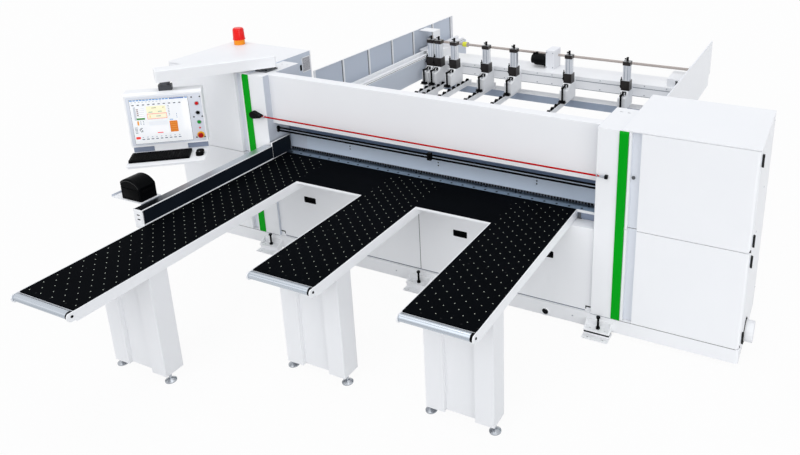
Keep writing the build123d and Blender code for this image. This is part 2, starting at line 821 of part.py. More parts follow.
# Pressure beam with the blade slot in its sole, and its lift rods
pressure_bottom = table_top + 3
pressure_top = pressure_bottom + pressure_height
pressure_back = pressure_front + pressure_depth
pressure_half = 1505
web = 6
slot_half = 8
slot_top = pressure_bottom + 110
chambers = [
    ((pressure_front + web, cut_line - slot_half - web), (pressure_bottom + web, slot_top - web)),
    ((cut_line + slot_half + web, pressure_back - web), (pressure_bottom + web, slot_top - web)),
    ((pressure_front + web, pressure_back - web), (slot_top + web, pressure_top - 2 * web)),
]
with BuildPart() as pressure_beam:
    long_span = (-pressure_half, pressure_half)
    block(long_span, (pressure_front, pressure_back), (pressure_bottom, pressure_top))
    open_span = (-pressure_half - 1, pressure_half + 1)
    slot_span = (cut_line - slot_half, cut_line + slot_half)
    block(open_span, slot_span, (pressure_bottom - 1, slot_top), Mode.SUBTRACT)
    for y_span, z_span in chambers:
        block(open_span, y_span, z_span, Mode.SUBTRACT)
    for side in (-1, 1):
        x = side * lift_spacing / 2
        piston = lift_span[1] - 12 - pressure_lift - 8
        bar_z(lift_rod, x, lift_y, (pressure_top - web, piston))
        bar_z(lift_bore - slide_gap, x, lift_y, (piston - 20, piston))
pressure_beam.part.label = "pressure_beam"
export_step(pressure_beam.part, "parts/pressure_beam.step")

# Pivot of the control arm on the left column
with BuildPart() as arm_pivot:
    block((pivot_x - 62, pivot_x + 62), (pivot_y - 75, pivot_y + 75), (column_top, column_top + 12))
    bar_z(46, pivot_x, pivot_y, (column_top + 12, arm_bottom - slide_gap))
    bar_z(15, pivot_x, pivot_y, (arm_bottom - slide_gap, arm_bottom + 45))
arm_pivot.part.label = "arm_pivot"
export_step(arm_pivot.part, "parts/arm_pivot.step")

# Control arm, a closed box with a boss at the pivot and a pin for the panel
arm_way = (-sin(radians(arm_heading)), -cos(radians(arm_heading)), 0)
arm_plane = Plane(origin=(pivot_x, pivot_y, arm_bottom), x_dir=arm_way, z_dir=(0, 0, 1))
swivel_x = pivot_x + panel_distance * arm_way[0]
swivel_y = pivot_y + panel_distance * arm_way[1]
bracket_bottom = panel_bottom + panel_height + 20
bracket_top = bracket_bottom + 48
bracket_size = (106, 64)
with BuildPart() as control_arm:
    with BuildSketch(arm_plane):
        with Locations(((arm_length - arm_tail) / 2, 0)):
            RectangleRounded(arm_length + arm_tail, arm_width, 12)
    extrude(amount=arm_height)
    fillet(control_arm.edges().group_by(Axis.Z)[-1], 8)
    with BuildSketch(arm_plane.offset(sheet)):
        with Locations(((arm_length - arm_tail) / 2, 0)):
            RectangleRounded(arm_length + arm_tail - 2 * sheet, arm_width - 2 * sheet, 8)
    extrude(amount=arm_height - 3 * sheet, mode=Mode.SUBTRACT)
    bar_z(38, pivot_x, pivot_y, (arm_bottom, arm_bottom + 46))
    bar_z(15 + run_gap, pivot_x, pivot_y, (arm_bottom - 1, arm_bottom + 46), Mode.SUBTRACT)
    with Locations((swivel_x, swivel_y, bracket_top + slide_gap)):
        stub_height = arm_bottom - bracket_top - slide_gap
        Cone(34, 52, stub_height, align=(Align.CENTER, Align.CENTER, Align.MIN))
    bar_z(12, swivel_x, swivel_y, (bracket_bottom + 6, bracket_top + 1))
control_arm.part.label = "control_arm"
export_step(control_arm.part, "parts/control_arm.step")

# Panel housing with its bracket, built on a plane through the swivel, the face turned to the operator
panel_right = (cos(radians(panel_yaw)), sin(radians(panel_yaw)), 0)
panel_out = (sin(radians(panel_yaw)), -cos(radians(panel_yaw)), 0)
panel_plane = Plane(origin=(swivel_x, swivel_y, 0), x_dir=panel_right, z_dir=(0, 0, 1))
face_y = -panel_depth / 2
panel_top = panel_bottom + panel_height
face_origin = (
    swivel_x + panel_right[0] * panel_shift + panel_out[0] * panel_depth / 2,
    swivel_y + panel_right[1] * panel_shift + panel_out[1] * panel_depth / 2,
    panel_bottom,
)
face_plane = Plane(origin=face_origin, x_dir=panel_right, z_dir=panel_out)
side_plane = Plane(
    origin=(
        swivel_x + panel_right[0] * (panel_shift - panel_width / 2),
        swivel_y + panel_right[1] * (panel_shift - panel_width / 2),
        0,
    ),
    x_dir=(-panel_out[0], -panel_out[1], 0),
    z_dir=panel_right,
)
button_heights = {"red_button": 354, "black_button": 270, "green_button": 185}
stop_height = 67
button_radius = 14
stem_radius = 10
bore_depth = 24
side_profile = [
    (face_y, panel_bottom),
    (-face_y, panel_bottom),
    (-face_y, bracket_bottom),
    (face_y + 20, bracket_bottom),
    (face_y, panel_top),
]
with BuildPart() as panel_housing:
    extrude(outline(side_plane, side_profile), amount=panel_width)
    with BuildSketch(panel_plane.offset(panel_bottom + sheet)):
        with Locations((panel_shift - 45, 0)):
            Rectangle(panel_width - 90 - 2 * sheet, panel_depth - 2 * sheet)
        with Locations((panel_shift + panel_width / 2 - 45 - sheet, 17)):
            Rectangle(90 - 2 * sheet, panel_depth - 34 - 2 * sheet)
    extrude(amount=panel_height - 2 * sheet, mode=Mode.SUBTRACT)
    with BuildSketch(panel_plane.offset(bracket_bottom)):
        RectangleRounded(bracket_size[0], bracket_size[1], 8)
    extrude(amount=bracket_top - bracket_bottom)
    bar_z(12 + run_gap, swivel_x, swivel_y, (bracket_bottom + 2, bracket_top + 1), Mode.SUBTRACT)
    with BuildSketch(face_plane):
        with Locations(*[(button_column, height) for height in button_heights.values()]):
            Circle(button_radius + slide_gap)
        with Locations((button_column, stop_height)):
            Circle(stem_radius + slide_gap)
    extrude(amount=-bore_depth, mode=Mode.SUBTRACT)
panel_housing.part.label = "panel_housing"
export_step(panel_housing.part, "parts/panel_housing.step")

# Push buttons and the emergency stop
button_out = 9
for name, height in button_heights.items():
    with BuildPart() as button:
        with BuildSketch(face_plane.offset(-bore_depth + 8)):
            with Locations((button_column, height)):
                Circle(button_radius)
        extrude(amount=bore_depth - 8 + button_out)
        fillet(button.edges().sort_by_distance(Vector(0, -9000, 1200))[0], 2)
    button.part.label = name
    export_step(button.part, f"parts/{name}.step")

with BuildPart() as emergency_stop:
    with BuildSketch(face_plane.offset(-bore_depth + 10)):
        with Locations((button_column, stop_height)):
            Circle(stem_radius)
    extrude(amount=bore_depth + 6)
    with BuildSketch(face_plane.offset(15)):
        with Locations((button_column, stop_height)):
            Circle(21)
    extrude(amount=17)
    fillet(emergency_stop.edges().sort_by_distance(Vector(0, -9000, 1200))[0], 7)
emergency_stop.part.label = "emergency_stop"
export_step(emergency_stop.part, "parts/emergency_stop.step")

# Keyboard tray under the panel, with keyboard and mouse
tray_front = face_y - tray_reach
tray_back = face_y + 40
with BuildPart() as keyboard_tray:
    with BuildSketch(panel_plane.offset(tray_top - sheet)):
        with Locations((panel_shift, (tray_front + tray_back) / 2)):
            RectangleRounded(panel_width, tray_back - tray_front, 12)
    extrude(amount=sheet)
    with BuildSketch(panel_plane.offset(tray_top - 22)):
        with Locations((panel_shift, tray_front + 2 + 10)):
            Rectangle(panel_width - 24, sheet)
    extrude(amount=22)
    with BuildSketch(panel_plane.offset(tray_top - sheet)):
        with Locations((panel_shift, tray_back - 10)):
            Rectangle(267, 12)
    extrude(amount=panel_bottom - tray_top + sheet)
keyboard_tray.part.label = "keyboard_tray"
export_step(keyboard_tray.part, "parts/keyboard_tray.step")

with BuildPart() as keyboard_and_mouse:
    with BuildSketch(panel_plane.offset(tray_top)):
        with Locations((panel_shift - 61, face_y - 130)):
            RectangleRounded(470, 186, 8)
    extrude(amount=20)
    with BuildSketch(panel_plane.offset(tray_top)):
        with Locations((panel_shift + 250, face_y - 143)):
            RectangleRounded(62, 104, 26)
    extrude(amount=32)
    fillet(keyboard_and_mouse.edges().group_by(Axis.Z)[-1], 10)
keyboard_and_mouse.part.label = "keyboard_and_mouse"
export_step(keyboard_and_mouse.part, "parts/keyboard_and_mouse.step")

# Beacon on the left cabinet
beacon_x = -2515
beacon_y = 349
with BuildPart() as beacon:
    bar_z(52, beacon_x, beacon_y, (cabinet_top, cabinet_top + 50))
    with Locations((beacon_x, beacon_y, cabinet_top + 50 + seat)):
        Cone(55, 50, 118, align=(Align.CENTER, Align.CENTER, Align.MIN))
    fillet(beacon.edges().group_by(Axis.Z)[-1], 16)
beacon.part.label = "beacon"
export_step(beacon.part, "parts/beacon.step")

# Dust outlet on the right side
outlet_y = -213
outlet_z = 176
outlet_radius = 82
outlet_reach = 68
with BuildPart() as dust_outlet:
    bar_x(outlet_radius + 14, (cabinet_out, cabinet_out + 4), outlet_y, outlet_z)
    bar_x(outlet_radius, (cabinet_out, cabinet_out + outlet_reach), outlet_y, outlet_z)
    stub_span = (cabinet_out - 1, cabinet_out + outlet_reach + 1)
    bar_x(outlet_radius - 3, stub_span, outlet_y, outlet_z, Mode.SUBTRACT)
dust_outlet.part.label = "dust_outlet"
export_step(dust_outlet.part, "parts/dust_outlet.step")

# Control gear inside the left cabinet
gear_back = back - sheet
gear_left = -cabinet_out + 63
gear_width = 0.56 * cabinet_width
gear_bottom = base_top + 259
gear_boxes = [
    ((0.06, 0.32), 150, 1000, 280),
    ((0.38, 0.57), 130, 1000, 240),
    ((0.62, 0.94), 90, 1000, 180),
    ((0.06, 0.49), 110, 600, 180),
    ((0.55, 0.94), 80, 600, 140),
]
with BuildPart() as control_gear:
    block(
        (gear_left, gear_left + gear_width),
        (gear_back - 6, gear_back),
        (gear_bottom, gear_bottom + 1100),
    )
    for share, depth, level, height in gear_boxes:
        block(
            (gear_left + share[0] * gear_width, gear_left + share[1] * gear_width),
            (gear_back - 6 - depth, gear_back - 6),
            (gear_bottom + level - height, gear_bottom + level),
        )
control_gear.part.label = "control_gear"
export_step(control_gear.part, "parts/control_gear.step")

# Pusher rails with grooved tops, guide rails and racks
rail_out = rail_inside + rail_width
guide_span = (rail_inside + 30, rail_inside + 60)
guide_top = rail_top + 20
rack_span = (rail_inside + 110, rail_inside + 140)
rack_top = shaft_z - pinion_radius - 0.5
rack_root = rack_top - tooth_height
rack_teeth = int((rail_end - column_back) / tooth_pitch)
rack_step = (rail_end - column_back) / rack_teeth
tooth_profile = ((0.2, rack_root), (0.35, rack_top), (0.65, rack_top), (0.8, rack_root))
rack_profile = [(column_back, rail_top + seat), (column_back, rack_root)]
for tooth in range(rack_teeth):
    for share, level in tooth_profile:
        rack_profile.append((column_back + (tooth + share) * rack_step, level))
rack_profile.append((rail_end, rack_root))
rack_profile.append((rail_end, rail_top + seat))
with BuildPart() as pusher_rails:
    block((rail_inside, rail_out), (column_back, rail_end), (rail_bottom, rail_top))
    block(
        (rail_inside + plate, rail_out - plate),
        (column_back - 1, rail_end + 1),
        (rail_bottom + plate, rail_top - 3 * plate),
        Mode.SUBTRACT,
    )
    for place in (10, 74, 92, 158, 174):
        groove = (rail_inside + place, rail_inside + place + 8)
        block(groove, (column_back - 1, rail_end + 1), (rail_top - 6, rail_top + 1), Mode.SUBTRACT)
    block(guide_span, (column_back, rail_end), (rail_top + seat, guide_top))
    extrude(outline(Plane.YZ.offset(rack_span[0]), rack_profile), amount=rack_span[1] - rack_span[0])
    mirror(about=Plane.YZ)
pusher_rails.part.label = "pusher_rails"
export_step(pusher_rails.part, "parts/pusher_rails.step")

# Side walls along the rails, sheet panels with flanges at the joints
wall_front = back + 3
wall_skin = 3
wall_depth = 12
wall_count = int((rail_end - wall_front) / wall_pitch)
with BuildPart() as side_walls:
    skin = (rail_out + wall_depth - wall_skin, rail_out + wall_depth)
    block(skin, (wall_front, rail_end), (wall_bottom, wall_top))
    block((rail_out, rail_out + wall_depth), (wall_front, rail_end), (wall_top - wall_skin, wall_top))
    block((rail_out, rail_out + wall_depth), (wall_front, rail_end), (wall_bottom, wall_bottom + wall_skin))
    for number in range(wall_count + 1):
        y_start = wall_front + number * wall_pitch
        block((rail_out, rail_out + wall_depth), (y_start, y_start + 22), (wall_bottom, wall_top))
    block((rail_out, rail_out + wall_depth), (rail_end - 22, rail_end), (wall_bottom, wall_top))
    mirror(about=Plane.YZ)
side_walls.part.label = "side_walls"
export_step(side_walls.part, "parts/side_walls.step")

# Rear portal with its cross beam, and the front support of the roller bars
post_half = 60
cross_half = rail_inside + 95 - post_half
portal_span = (portal_front, portal_front + portal_depth)
with BuildPart() as rear_frame:
    for side in (-1, 1):
        x = side * post_places
        block((x - post_half, x + post_half), portal_span, (foot_height, rail_bottom))
        block(
            (x - post_half + plate, x + post_half - plate),
            (portal_span[0] + plate, portal_span[1] - plate),
            (foot_height + plate, rail_bottom - plate),
            Mode.SUBTRACT,
        )
    block((-cross_half, cross_half), portal_span, (portal_bottom, bar_bottom))
    block(
        (-cross_half - 1, cross_half + 1),
        (portal_span[0] + plate, portal_span[1] - plate),
        (portal_bottom + plate, bar_bottom - plate),
        Mode.SUBTRACT,
    )
    block((-column_in + 45, column_in - 45), (bed_back, support_back), (bar_bottom - 55, bar_bottom))
rear_frame.part.label = "rear_frame"
export_step(rear_frame.part, "parts/rear_frame.step")

# Roller bars behind the cut and their wheels
bar_front = bed_back + 6
bar_height = 60
bar_wall = 3
wheel_z = table_top - wheel_radius
wheel_count = int((bar_end - bar_front - 2 * wheel_radius) / wheel_pitch) + 1
wheel_rows = [bar_front + wheel_radius + 6 + number * wheel_pitch for number in range(wheel_count)]
bar_half = bar_width / 2
with BuildPart() as roller_bars:
    for place in bar_places:
        x_span = (place - bar_half, place + bar_half)
        block(x_span, (bar_front, bar_end), (bar_bottom, bar_bottom + bar_height))
        block(
            (x_span[0] + bar_wall, x_span[1] - bar_wall),
            (bar_front - 1, bar_end + 1),
            (bar_bottom + bar_wall, bar_bottom + bar_height + 1),
            Mode.SUBTRACT,
        )
roller_bars.part.label = "roller_bars"
export_step(roller_bars.part, "parts/roller_bars.step")

wheel_half = 12
with BuildPart() as bar_wheels:
    with Locations(*[(place, row, wheel_z) for place in bar_places for row in wheel_rows]):
        Cylinder(wheel_radius, 2 * wheel_half, rotation=(0, 90, 0))
        Cylinder(7, bar_width - 2 * bar_wall, rotation=(0, 90, 0))
bar_wheels.part.label = "bar_wheels"
export_step(bar_wheels.part, "parts/bar_wheels.step")

# Pusher beam with its end carriages and the cable bracket on the left
beam_half = rail_inside - 10
pusher_span = (pusher_front, pusher_front + pusher_depth)
carriage_bottom = rack_top + 4
carriage_top = carriage_bottom + 14
carriage_y = (pusher_front + 30, pusher_front + pusher_depth - 5)
bearing_span = (rail_inside + 78, rail_inside + 102)
cable_y = (pusher_front + 63, pusher_front + 223)
cable_top = carriage_top + 230
with BuildPart() as pusher_beam:
    block((-beam_half, beam_half), pusher_span, (pusher_bottom, pusher_top))
    block(
        (-beam_half + plate, beam_half - plate),
        (pusher_span[0] + plate, pusher_span[1] - plate),
        (pusher_bottom + plate, pusher_top - plate),
        Mode.SUBTRACT,
    )
    block(
        (-beam_half - 1, beam_half + 1),
        (pusher_front - 1, pusher_front + 4),
        (pusher_top - 44, pusher_top - 36),
        Mode.SUBTRACT,
    )
    for side in (-1, 1):
        ends = {
            "riser": (rail_inside - 100, beam_half),
            "deck": (rail_inside - 100, rail_out - 20),
            "block": (guide_span[0] - 14, guide_span[1] + 14),
            "guide": (guide_span[0] - slide_gap, guide_span[1] + slide_gap),
            "pinion": (rack_span[0] - 8, rack_span[1] + 8),
            "bearing": bearing_span,
        }
        span = {name: sorted((side * low, side * high)) for name, (low, high) in ends.items()}
        block(span["riser"], carriage_y, (pusher_top - 1, carriage_bottom))
        block(span["deck"], carriage_y, (carriage_bottom, carriage_top))
        block(span["block"], carriage_y, (rail_top + 6, carriage_bottom + 1))
        block(
            span["guide"],
            (carriage_y[0] - 1, carriage_y[1] + 1),
            (rail_top, guide_top + slide_gap),
            Mode.SUBTRACT,
        )
        pinion_slot = (shaft_y - 62, shaft_y + 62)
        block(span["pinion"], pinion_slot, (carriage_bottom - 1, carriage_top + 1), Mode.SUBTRACT)
        block(span["bearing"], (shaft_y - 34, shaft_y + 34), (carriage_top - 1, shaft_z + 34))
        bar_x(shaft_radius + run_gap, span["bearing"], shaft_y, shaft_z, Mode.SUBTRACT)
    block((-beam_half, -beam_half + 5), cable_y, (carriage_top - 1, cable_top))
    block((-rail_out + 6, -beam_half + 5), cable_y, (cable_top - 5, cable_top))
pusher_beam.part.label = "pusher_beam"
export_step(pusher_beam.part, "parts/pusher_beam.step")

# Pusher drive: gearbox and motor
gearbox_half = 52
gearbox_y = (pusher_front + 150, pusher_front + 370)
gearbox_top = pusher_top + 218
motor_y = pusher_front + 220
motor_axis = pusher_top + 85
with BuildPart() as pusher_drive:
    block((-gearbox_half, gearbox_half), gearbox_y, (pusher_top, gearbox_top))
    fillet(pusher_drive.edges().filter_by(Axis.Z), 8)
    bar_x(shaft_radius + run_gap, (-gearbox_half - 1, gearbox_half + 1), shaft_y, shaft_z, Mode.SUBTRACT)
    block((-gearbox_half - 20, -gearbox_half), (motor_y - 62, motor_y + 62), (motor_axis - 62, motor_axis + 62))
    bar_x(64, (-gearbox_half - 150, -gearbox_half - 19), motor_y, motor_axis)
    bar_x(52, (-gearbox_half - 190, -gearbox_half - 149), motor_y, motor_axis)
pusher_drive.part.label = "pusher_drive"
export_step(pusher_drive.part, "parts/pusher_drive.step")

# Cross shaft with the two pinions and the coupling
coupling_x = -1170
with BuildPart() as cross_shaft:
    bar_x(shaft_radius, (-rack_span[1] - 12, rack_span[1] + 12), shaft_y, shaft_z)
    for side in (-1, 1):
        bar_x(pinion_radius, sorted((side * rack_span[0], side * rack_span[1])), shaft_y, shaft_z)
    bar_x(30, (coupling_x - 38, coupling_x + 38), shaft_y, shaft_z)
cross_shaft.part.label = "cross_shaft"
export_step(cross_shaft.part, "parts/cross_shaft.step")

# Grippers: bracket with pivot ears, cylinder stack and clamping lever
grip_half = gripper_width / 2
jaw_bottom = table_top + 2
jaw_thickness = 4
pivot_point = (pusher_front - 227, table_top + 171)
ear_in = 13
ear_out = 21
bracket_front = pusher_front - 287
block_z = (pusher_top - 40, pusher_top + 68)
bracket_profile = [
    (bracket_front, jaw_bottom),
    (pusher_front, jaw_bottom),
    (pusher_front, pusher_top),
    (pusher_front - 55, pusher_top),
    (pusher_front - 55, block_z[0]),
    (bracket_front + 120, block_z[0]),
    (bracket_front + 80, pivot_point[1] - 28),
    (bracket_front, pivot_point[1] - 40),
]
with BuildPart() as one_bracket:
    extrude(outline(Plane.YZ.offset(-grip_half), bracket_profile), amount=gripper_width)
    hollow = (bracket_front + 7, pusher_front - 7)
    hollow_z = (jaw_bottom + 7, pivot_point[1] - 50)
    block((-grip_half + 7, grip_half - 7), hollow, hollow_z, Mode.SUBTRACT)
    block((-38, 38), (bracket_front - 56, bracket_front + 40), (jaw_bottom, jaw_bottom + jaw_thickness))
    for side in (-1, 1):
        x_span = sorted((side * ear_in, side * ear_out))
        ear_z = (pivot_point[1] - 46, pivot_point[1])
        block(x_span, (pivot_point[0] - 12, pivot_point[0] + 40), ear_z)
        bar_x(12, x_span, *pivot_point)
    bar_x(6, (-ear_out, ear_out), *pivot_point)
with BuildPart() as gripper_brackets:
    with Locations(*[(place, 0, 0) for place in gripper_places]):
        add(one_bracket.part)
gripper_brackets.part.label = "gripper_brackets"
export_step(gripper_brackets.part, "parts/gripper_brackets.step")

stack_y = pusher_front - 111
tube_top = block_z[1] + 166
cap_top = tube_top + 41
with BuildPart() as one_stack:
    block((-46, 46), (stack_y - 50, stack_y + 50), block_z)
    with BuildSketch(Plane.XY.offset(block_z[1])):
        with Locations((0, stack_y)):
            RectangleRounded(76, 76, 14)
    extrude(amount=tube_top - block_z[1])
    block((-41, 41), (stack_y - 41, stack_y + 41), (tube_top, cap_top))
    bar_z(12, 0, stack_y, (cap_top, cap_top + 37))
with BuildPart() as gripper_cylinders:
    with Locations(*[(place, 0, 0) for place in gripper_places]):
        add(one_stack.part)
gripper_cylinders.part.label = "gripper_cylinders"
export_step(gripper_cylinders.part, "parts/gripper_cylinders.step")

finger_y = bracket_front - 28
foot_bottom = jaw_bottom + 9
pad_height = 16
with BuildPart() as one_lever:
    bar_z(lever_rod, 0, finger_y, (foot_bottom, pivot_point[1]))
    bar_y(lever_rod, 0, (finger_y, pivot_point[0]), pivot_point[1])
    with Locations((0, finger_y, pivot_point[1])):
        Sphere(lever_elbow)
    bar_x(12, (-ear_in + 1, ear_in - 1), *pivot_point)
    bar_x(6 + run_gap, (-ear_in, ear_in), *pivot_point, mode=Mode.SUBTRACT)
    block((-34, 34), (finger_y - 16, finger_y + 16), (foot_bottom, foot_bottom + pad_height))
with BuildPart() as gripper_levers:
    with Locations(*[(place, 0, 0) for place in gripper_places]):
        add(one_lever.part)
gripper_levers.part.label = "gripper_levers"
export_step(gripper_levers.part, "parts/gripper_levers.step")
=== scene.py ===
"""Finishes, small fittings, light and camera for the beam saw."""
import math

import bpy
import numpy as np
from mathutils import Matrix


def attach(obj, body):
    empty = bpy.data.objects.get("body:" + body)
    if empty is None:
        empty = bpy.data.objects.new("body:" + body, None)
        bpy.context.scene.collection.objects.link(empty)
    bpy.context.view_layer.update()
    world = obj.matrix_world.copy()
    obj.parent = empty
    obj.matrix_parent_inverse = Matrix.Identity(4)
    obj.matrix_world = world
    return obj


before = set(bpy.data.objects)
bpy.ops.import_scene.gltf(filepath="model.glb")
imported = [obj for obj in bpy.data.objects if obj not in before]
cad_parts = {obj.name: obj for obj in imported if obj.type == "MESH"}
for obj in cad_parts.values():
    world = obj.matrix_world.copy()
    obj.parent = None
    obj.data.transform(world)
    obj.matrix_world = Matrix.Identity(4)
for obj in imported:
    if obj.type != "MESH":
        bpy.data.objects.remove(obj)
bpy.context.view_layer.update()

MM = 0.001
SIDES = (-1, 1)

# Places shared with the built parts, in millimetres
COLUMN_IN, COLUMN_OUT = 1525, 1706
CABINET_OUT, CABINET_MIDDLE = 2653, 2180
FRONT, BACK = -437, 437
BASE_TOP = 141
BED_FACE = -413
PRESSURE_FACE = -183
TABLE_TOP = 935
TABLE_CENTRES = (-1225, -71, 1083)
TABLE_FRONTS = (-2795, -1992, -1992)
TABLE_HALF = 258.5
TABLE_REAR = -283
ROLLER_DROP, ROLLER_REACH = 26.5, 28
SWIVEL = np.array([-2130.2, -935.1, 0.0])
PANEL_YAW = math.radians(38.9)
PANEL_FACE, PANEL_MIDDLE = 60, -20
LID_LEFT, LID_RIGHT, LID_LOW, LID_TOP = -1789.5, -1584.5, 1158, 1230
PRINTER_FRONT, PRINTER_BACK, SHELF_TOP = -1763, -1613, 1063
FENCE_FRONT = -1843
ROPE_Y, ROPE_Z = -455, 1324
GRIPPERS = (-1405, -1304, -1097, -680, -331, 334, 989)
CYLINDER_Y = 2266
PUSHER_FACE = 2377
MOTOR_Y, MOTOR_Z = 2597, 1245
SHAFT_Y, SHAFT_Z = 2679, 1300
BEACON_X, BEACON_Y = -2515, 349
OUTLET_Y, OUTLET_Z = -213, 176
# How deep the foot of a fitting sits in its part
SINK = 0.2
# Edges sharper than this stay crisp
SHARP_EDGE = math.radians(35)


# Shapes: each is (points, faces), points in millimetres and faces as arrays of one corner count each
def strips(rows, columns):
    """Quads of a grid whose columns close on themselves: row i, column j joins i+1 and j+1."""
    i, j = np.meshgrid(np.arange(rows - 1), np.arange(columns), indexing="ij")
    k = (j + 1) % columns
    low, high = i * columns, (i + 1) * columns
    return np.stack([low + j, low + k, high + k, high + j], -1).reshape(-1, 4)


def tube(rings):
    """Closed skin over a stack of rings (rows, columns, 3), with a flat face over the first and last ring."""
    rows, columns = rings.shape[:2]
    ends = np.stack([np.arange(columns)[::-1], (rows - 1) * columns + np.arange(columns)])
    return rings.reshape(-1, 3), [strips(rows, columns), ends]


def stacked(outlines, heights):
    """Closed skin over flat outlines (u, v) of one point count, each at its height."""
    rings = [np.column_stack([flat, np.full(len(flat), h)]) for flat, h in zip(outlines, heights)]
    return tube(np.array(rings))


def rings_about_z(radius, height, sides):
    """Rings about Z: (r cos a, r sin a, h) at even angles a, with a radius per ring or per point."""
    a = np.arange(sides) * 2 * np.pi / sides
    r = np.broadcast_to(np.reshape(radius, (len(height), -1)), (len(height), sides))
    h = np.repeat(np.reshape(height, (-1, 1)), sides, 1)
    return np.stack([r * np.cos(a), r * np.sin(a), h], -1)


def turned(profile, sides):
    """Profile of (radius, height) pairs turned about Z, closed at both ends."""
    r, h = np.asarray(profile, float).T
    return tube(rings_about_z(r, h, sides))


def collar(profile, sides):
    """Closed ring: a closed profile of (radius, height) pairs turned about Z, with no faces over the hole."""
    r, h = np.asarray(profile, float).T
    rings = rings_about_z(r, h, sides)
    points, faces = tube(np.concatenate([rings, rings[:1]]))
    return points, faces[:1]


def rounded(half_u, half_v, radius, per_corner=4):
    """Rectangle with round corners: each corner's centre plus radius times (cos, sin) over a quarter turn."""
    a = np.linspace(0, np.pi / 2, per_corner)
    signs = np.array([(1, 1), (-1, 1), (-1, -1), (1, -1)])
    turns = a[None, :] + np.arange(4)[:, None] * np.pi / 2
    u = signs[:, :1] * (half_u - radius) + radius * np.cos(turns)
    v = signs[:, 1:] * (half_v - radius) + radius * np.sin(turns)
    return np.stack([u.ravel(), v.ravel()], -1)


def slab(x, y, z, corner=1.0, edge=0.6, per_corner=3, steps=3, least=0.05):
    """Block between the ends given: a rounded rectangle carried up Z, drawn in by e(1 - cos t) over the last
    e(1 - sin t) of height at both ends."""
    t = np.linspace(0, np.pi / 2, steps)
    half_u, half_v = (x[1] - x[0]) / 2, (y[1] - y[0]) / 2
    middle = (x[0] + x[1]) / 2, (y[0] + y[1]) / 2
    inset = np.concatenate([edge * (1 - np.sin(t)), edge * (1 - np.cos(t))])
    level = np.concatenate([z[0] + edge * (1 - np.cos(t)), z[1] - edge * (1 - np.sin(t))])
    outlines = [rounded(half_u - d, half_v - d, max(corner - d, least), per_corner) + middle for d in inset]
    return stacked(outlines, level)


def prism(outline, low, high):
    """Flat outline (u, v) carried straight up from low to high."""
    return stacked([outline, outline], [low, high])


def swept(outline, path, up):
    """Outline (u, v) carried along a path: point p plus u times the side vector plus v times the upright."""
    tangent = np.gradient(path, axis=0)
    tangent /= np.linalg.norm(tangent, axis=1)[:, None]
    side = np.cross(tangent, up)
    side /= np.linalg.norm(side, axis=1)[:, None]
    upright = np.cross(side, tangent)
    rings = path[:, None] + outline[None, :, :1] * side[:, None] + outline[None, :, 1:] * upright[:, None]
    return tube(rings[:, ::-1])


def aimed(shape, axis, x=0, y=0, z=0):
    """The shape with its Z axis laid along +X, -X, +Y or -Y, then shifted by x, y, z."""
    points, faces = shape
    u, v, w = points.T
    laid = {"+x": (w, v, -u), "-x": (-w, v, u), "+y": (u, w, -v), "-y": (u, -w, v)}[axis]
    return np.column_stack(laid) + (x, y, z), faces


def moved(shape, x, y, z=0):
    """The shape shifted by x, y, z."""
    return shape[0] + (x, y, z), shape[1]


def repeated(shape, places):
    """One copy of the shape at each place (n, 3), as one array of points."""
    points, faces = shape
    places = np.asarray(places, float).reshape(-1, 3)
    shift = np.arange(len(places)) * len(points)
    every = (points[None] + places[:, None]).reshape(-1, 3)
    return every, [(f[None] + shift[:, None, None]).reshape(-1, f.shape[1]) for f in faces]


def joined(*shapes):
    """All the shapes as one."""
    points, faces, count = [], [], 0
    for p, f in shapes:
        points.append(p)
        faces += [part + count for part in f]
        count += len(p)
    return np.concatenate(points), faces


def boxes(low, high):
    """A plain block for each row of low and high corners."""
    pick = np.array([(0, 0, 0), (1, 0, 0), (1, 1, 0), (0, 1, 0), (0, 0, 1), (1, 0, 1), (1, 1, 1), (0, 1, 1)])
    corners = np.where(pick[None], np.asarray(high)[:, None], np.asarray(low)[:, None])
    sides = np.array([(3, 2, 1, 0), (4, 5, 6, 7), (0, 1, 5, 4), (1, 2, 6, 5), (2, 3, 7, 6), (3, 0, 4, 7)])
    every = sides[None] + 8 * np.arange(len(corners))[:, None, None]
    return corners.reshape(-1, 3), [every.reshape(-1, 4)]


def on_panel(shape, lying=False):
    """A shape facing the operator (across, up, out), or lying (across, away, up), set at the swivel."""
    across = np.array([math.cos(PANEL_YAW), math.sin(PANEL_YAW), 0])
    out = np.array([math.sin(PANEL_YAW), -math.cos(PANEL_YAW), 0])
    up = np.array([0, 0, 1])
    axes = np.array((across, -out, up) if lying else (across, up, out))
    return SWIVEL + shape[0] @ axes, shape[1]


def grid(xs, ys=(0,), zs=(0,)):
    """Every place that has one of each coordinate, as rows."""
    return np.stack(np.meshgrid(xs, ys, zs, indexing="ij"), -1).reshape(-1, 3)


def span(side, inner, outer):
    """Two places out from the middle, on the left (-1) or right (1) half, the lower one first."""
    return sorted((side * inner, side * outer))


def piece(name, shape, material, body="machine", tint=None):
    """A piece of one shape or a list, riding on a body, smooth but for sharp edges; tint is per point."""
    points, faces = joined(*shape) if isinstance(shape, list) else shape
    mesh = bpy.data.meshes.new(name)
    mesh.from_pydata((points * MM).tolist(), [], [corners for part in faces for corners in part.tolist()])
    mesh.shade_smooth()
    mesh.set_sharp_from_angle(angle=SHARP_EDGE)
    if tint is not None:
        layer = mesh.color_attributes.new("tint", "FLOAT_COLOR", "POINT")
        layer.data.foreach_set("color", np.asarray(tint, np.float32).ravel())
    mesh.materials.append(material)
    made = bpy.data.objects.new(name, mesh)
    bpy.context.collection.objects.link(made)
    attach(made, body)


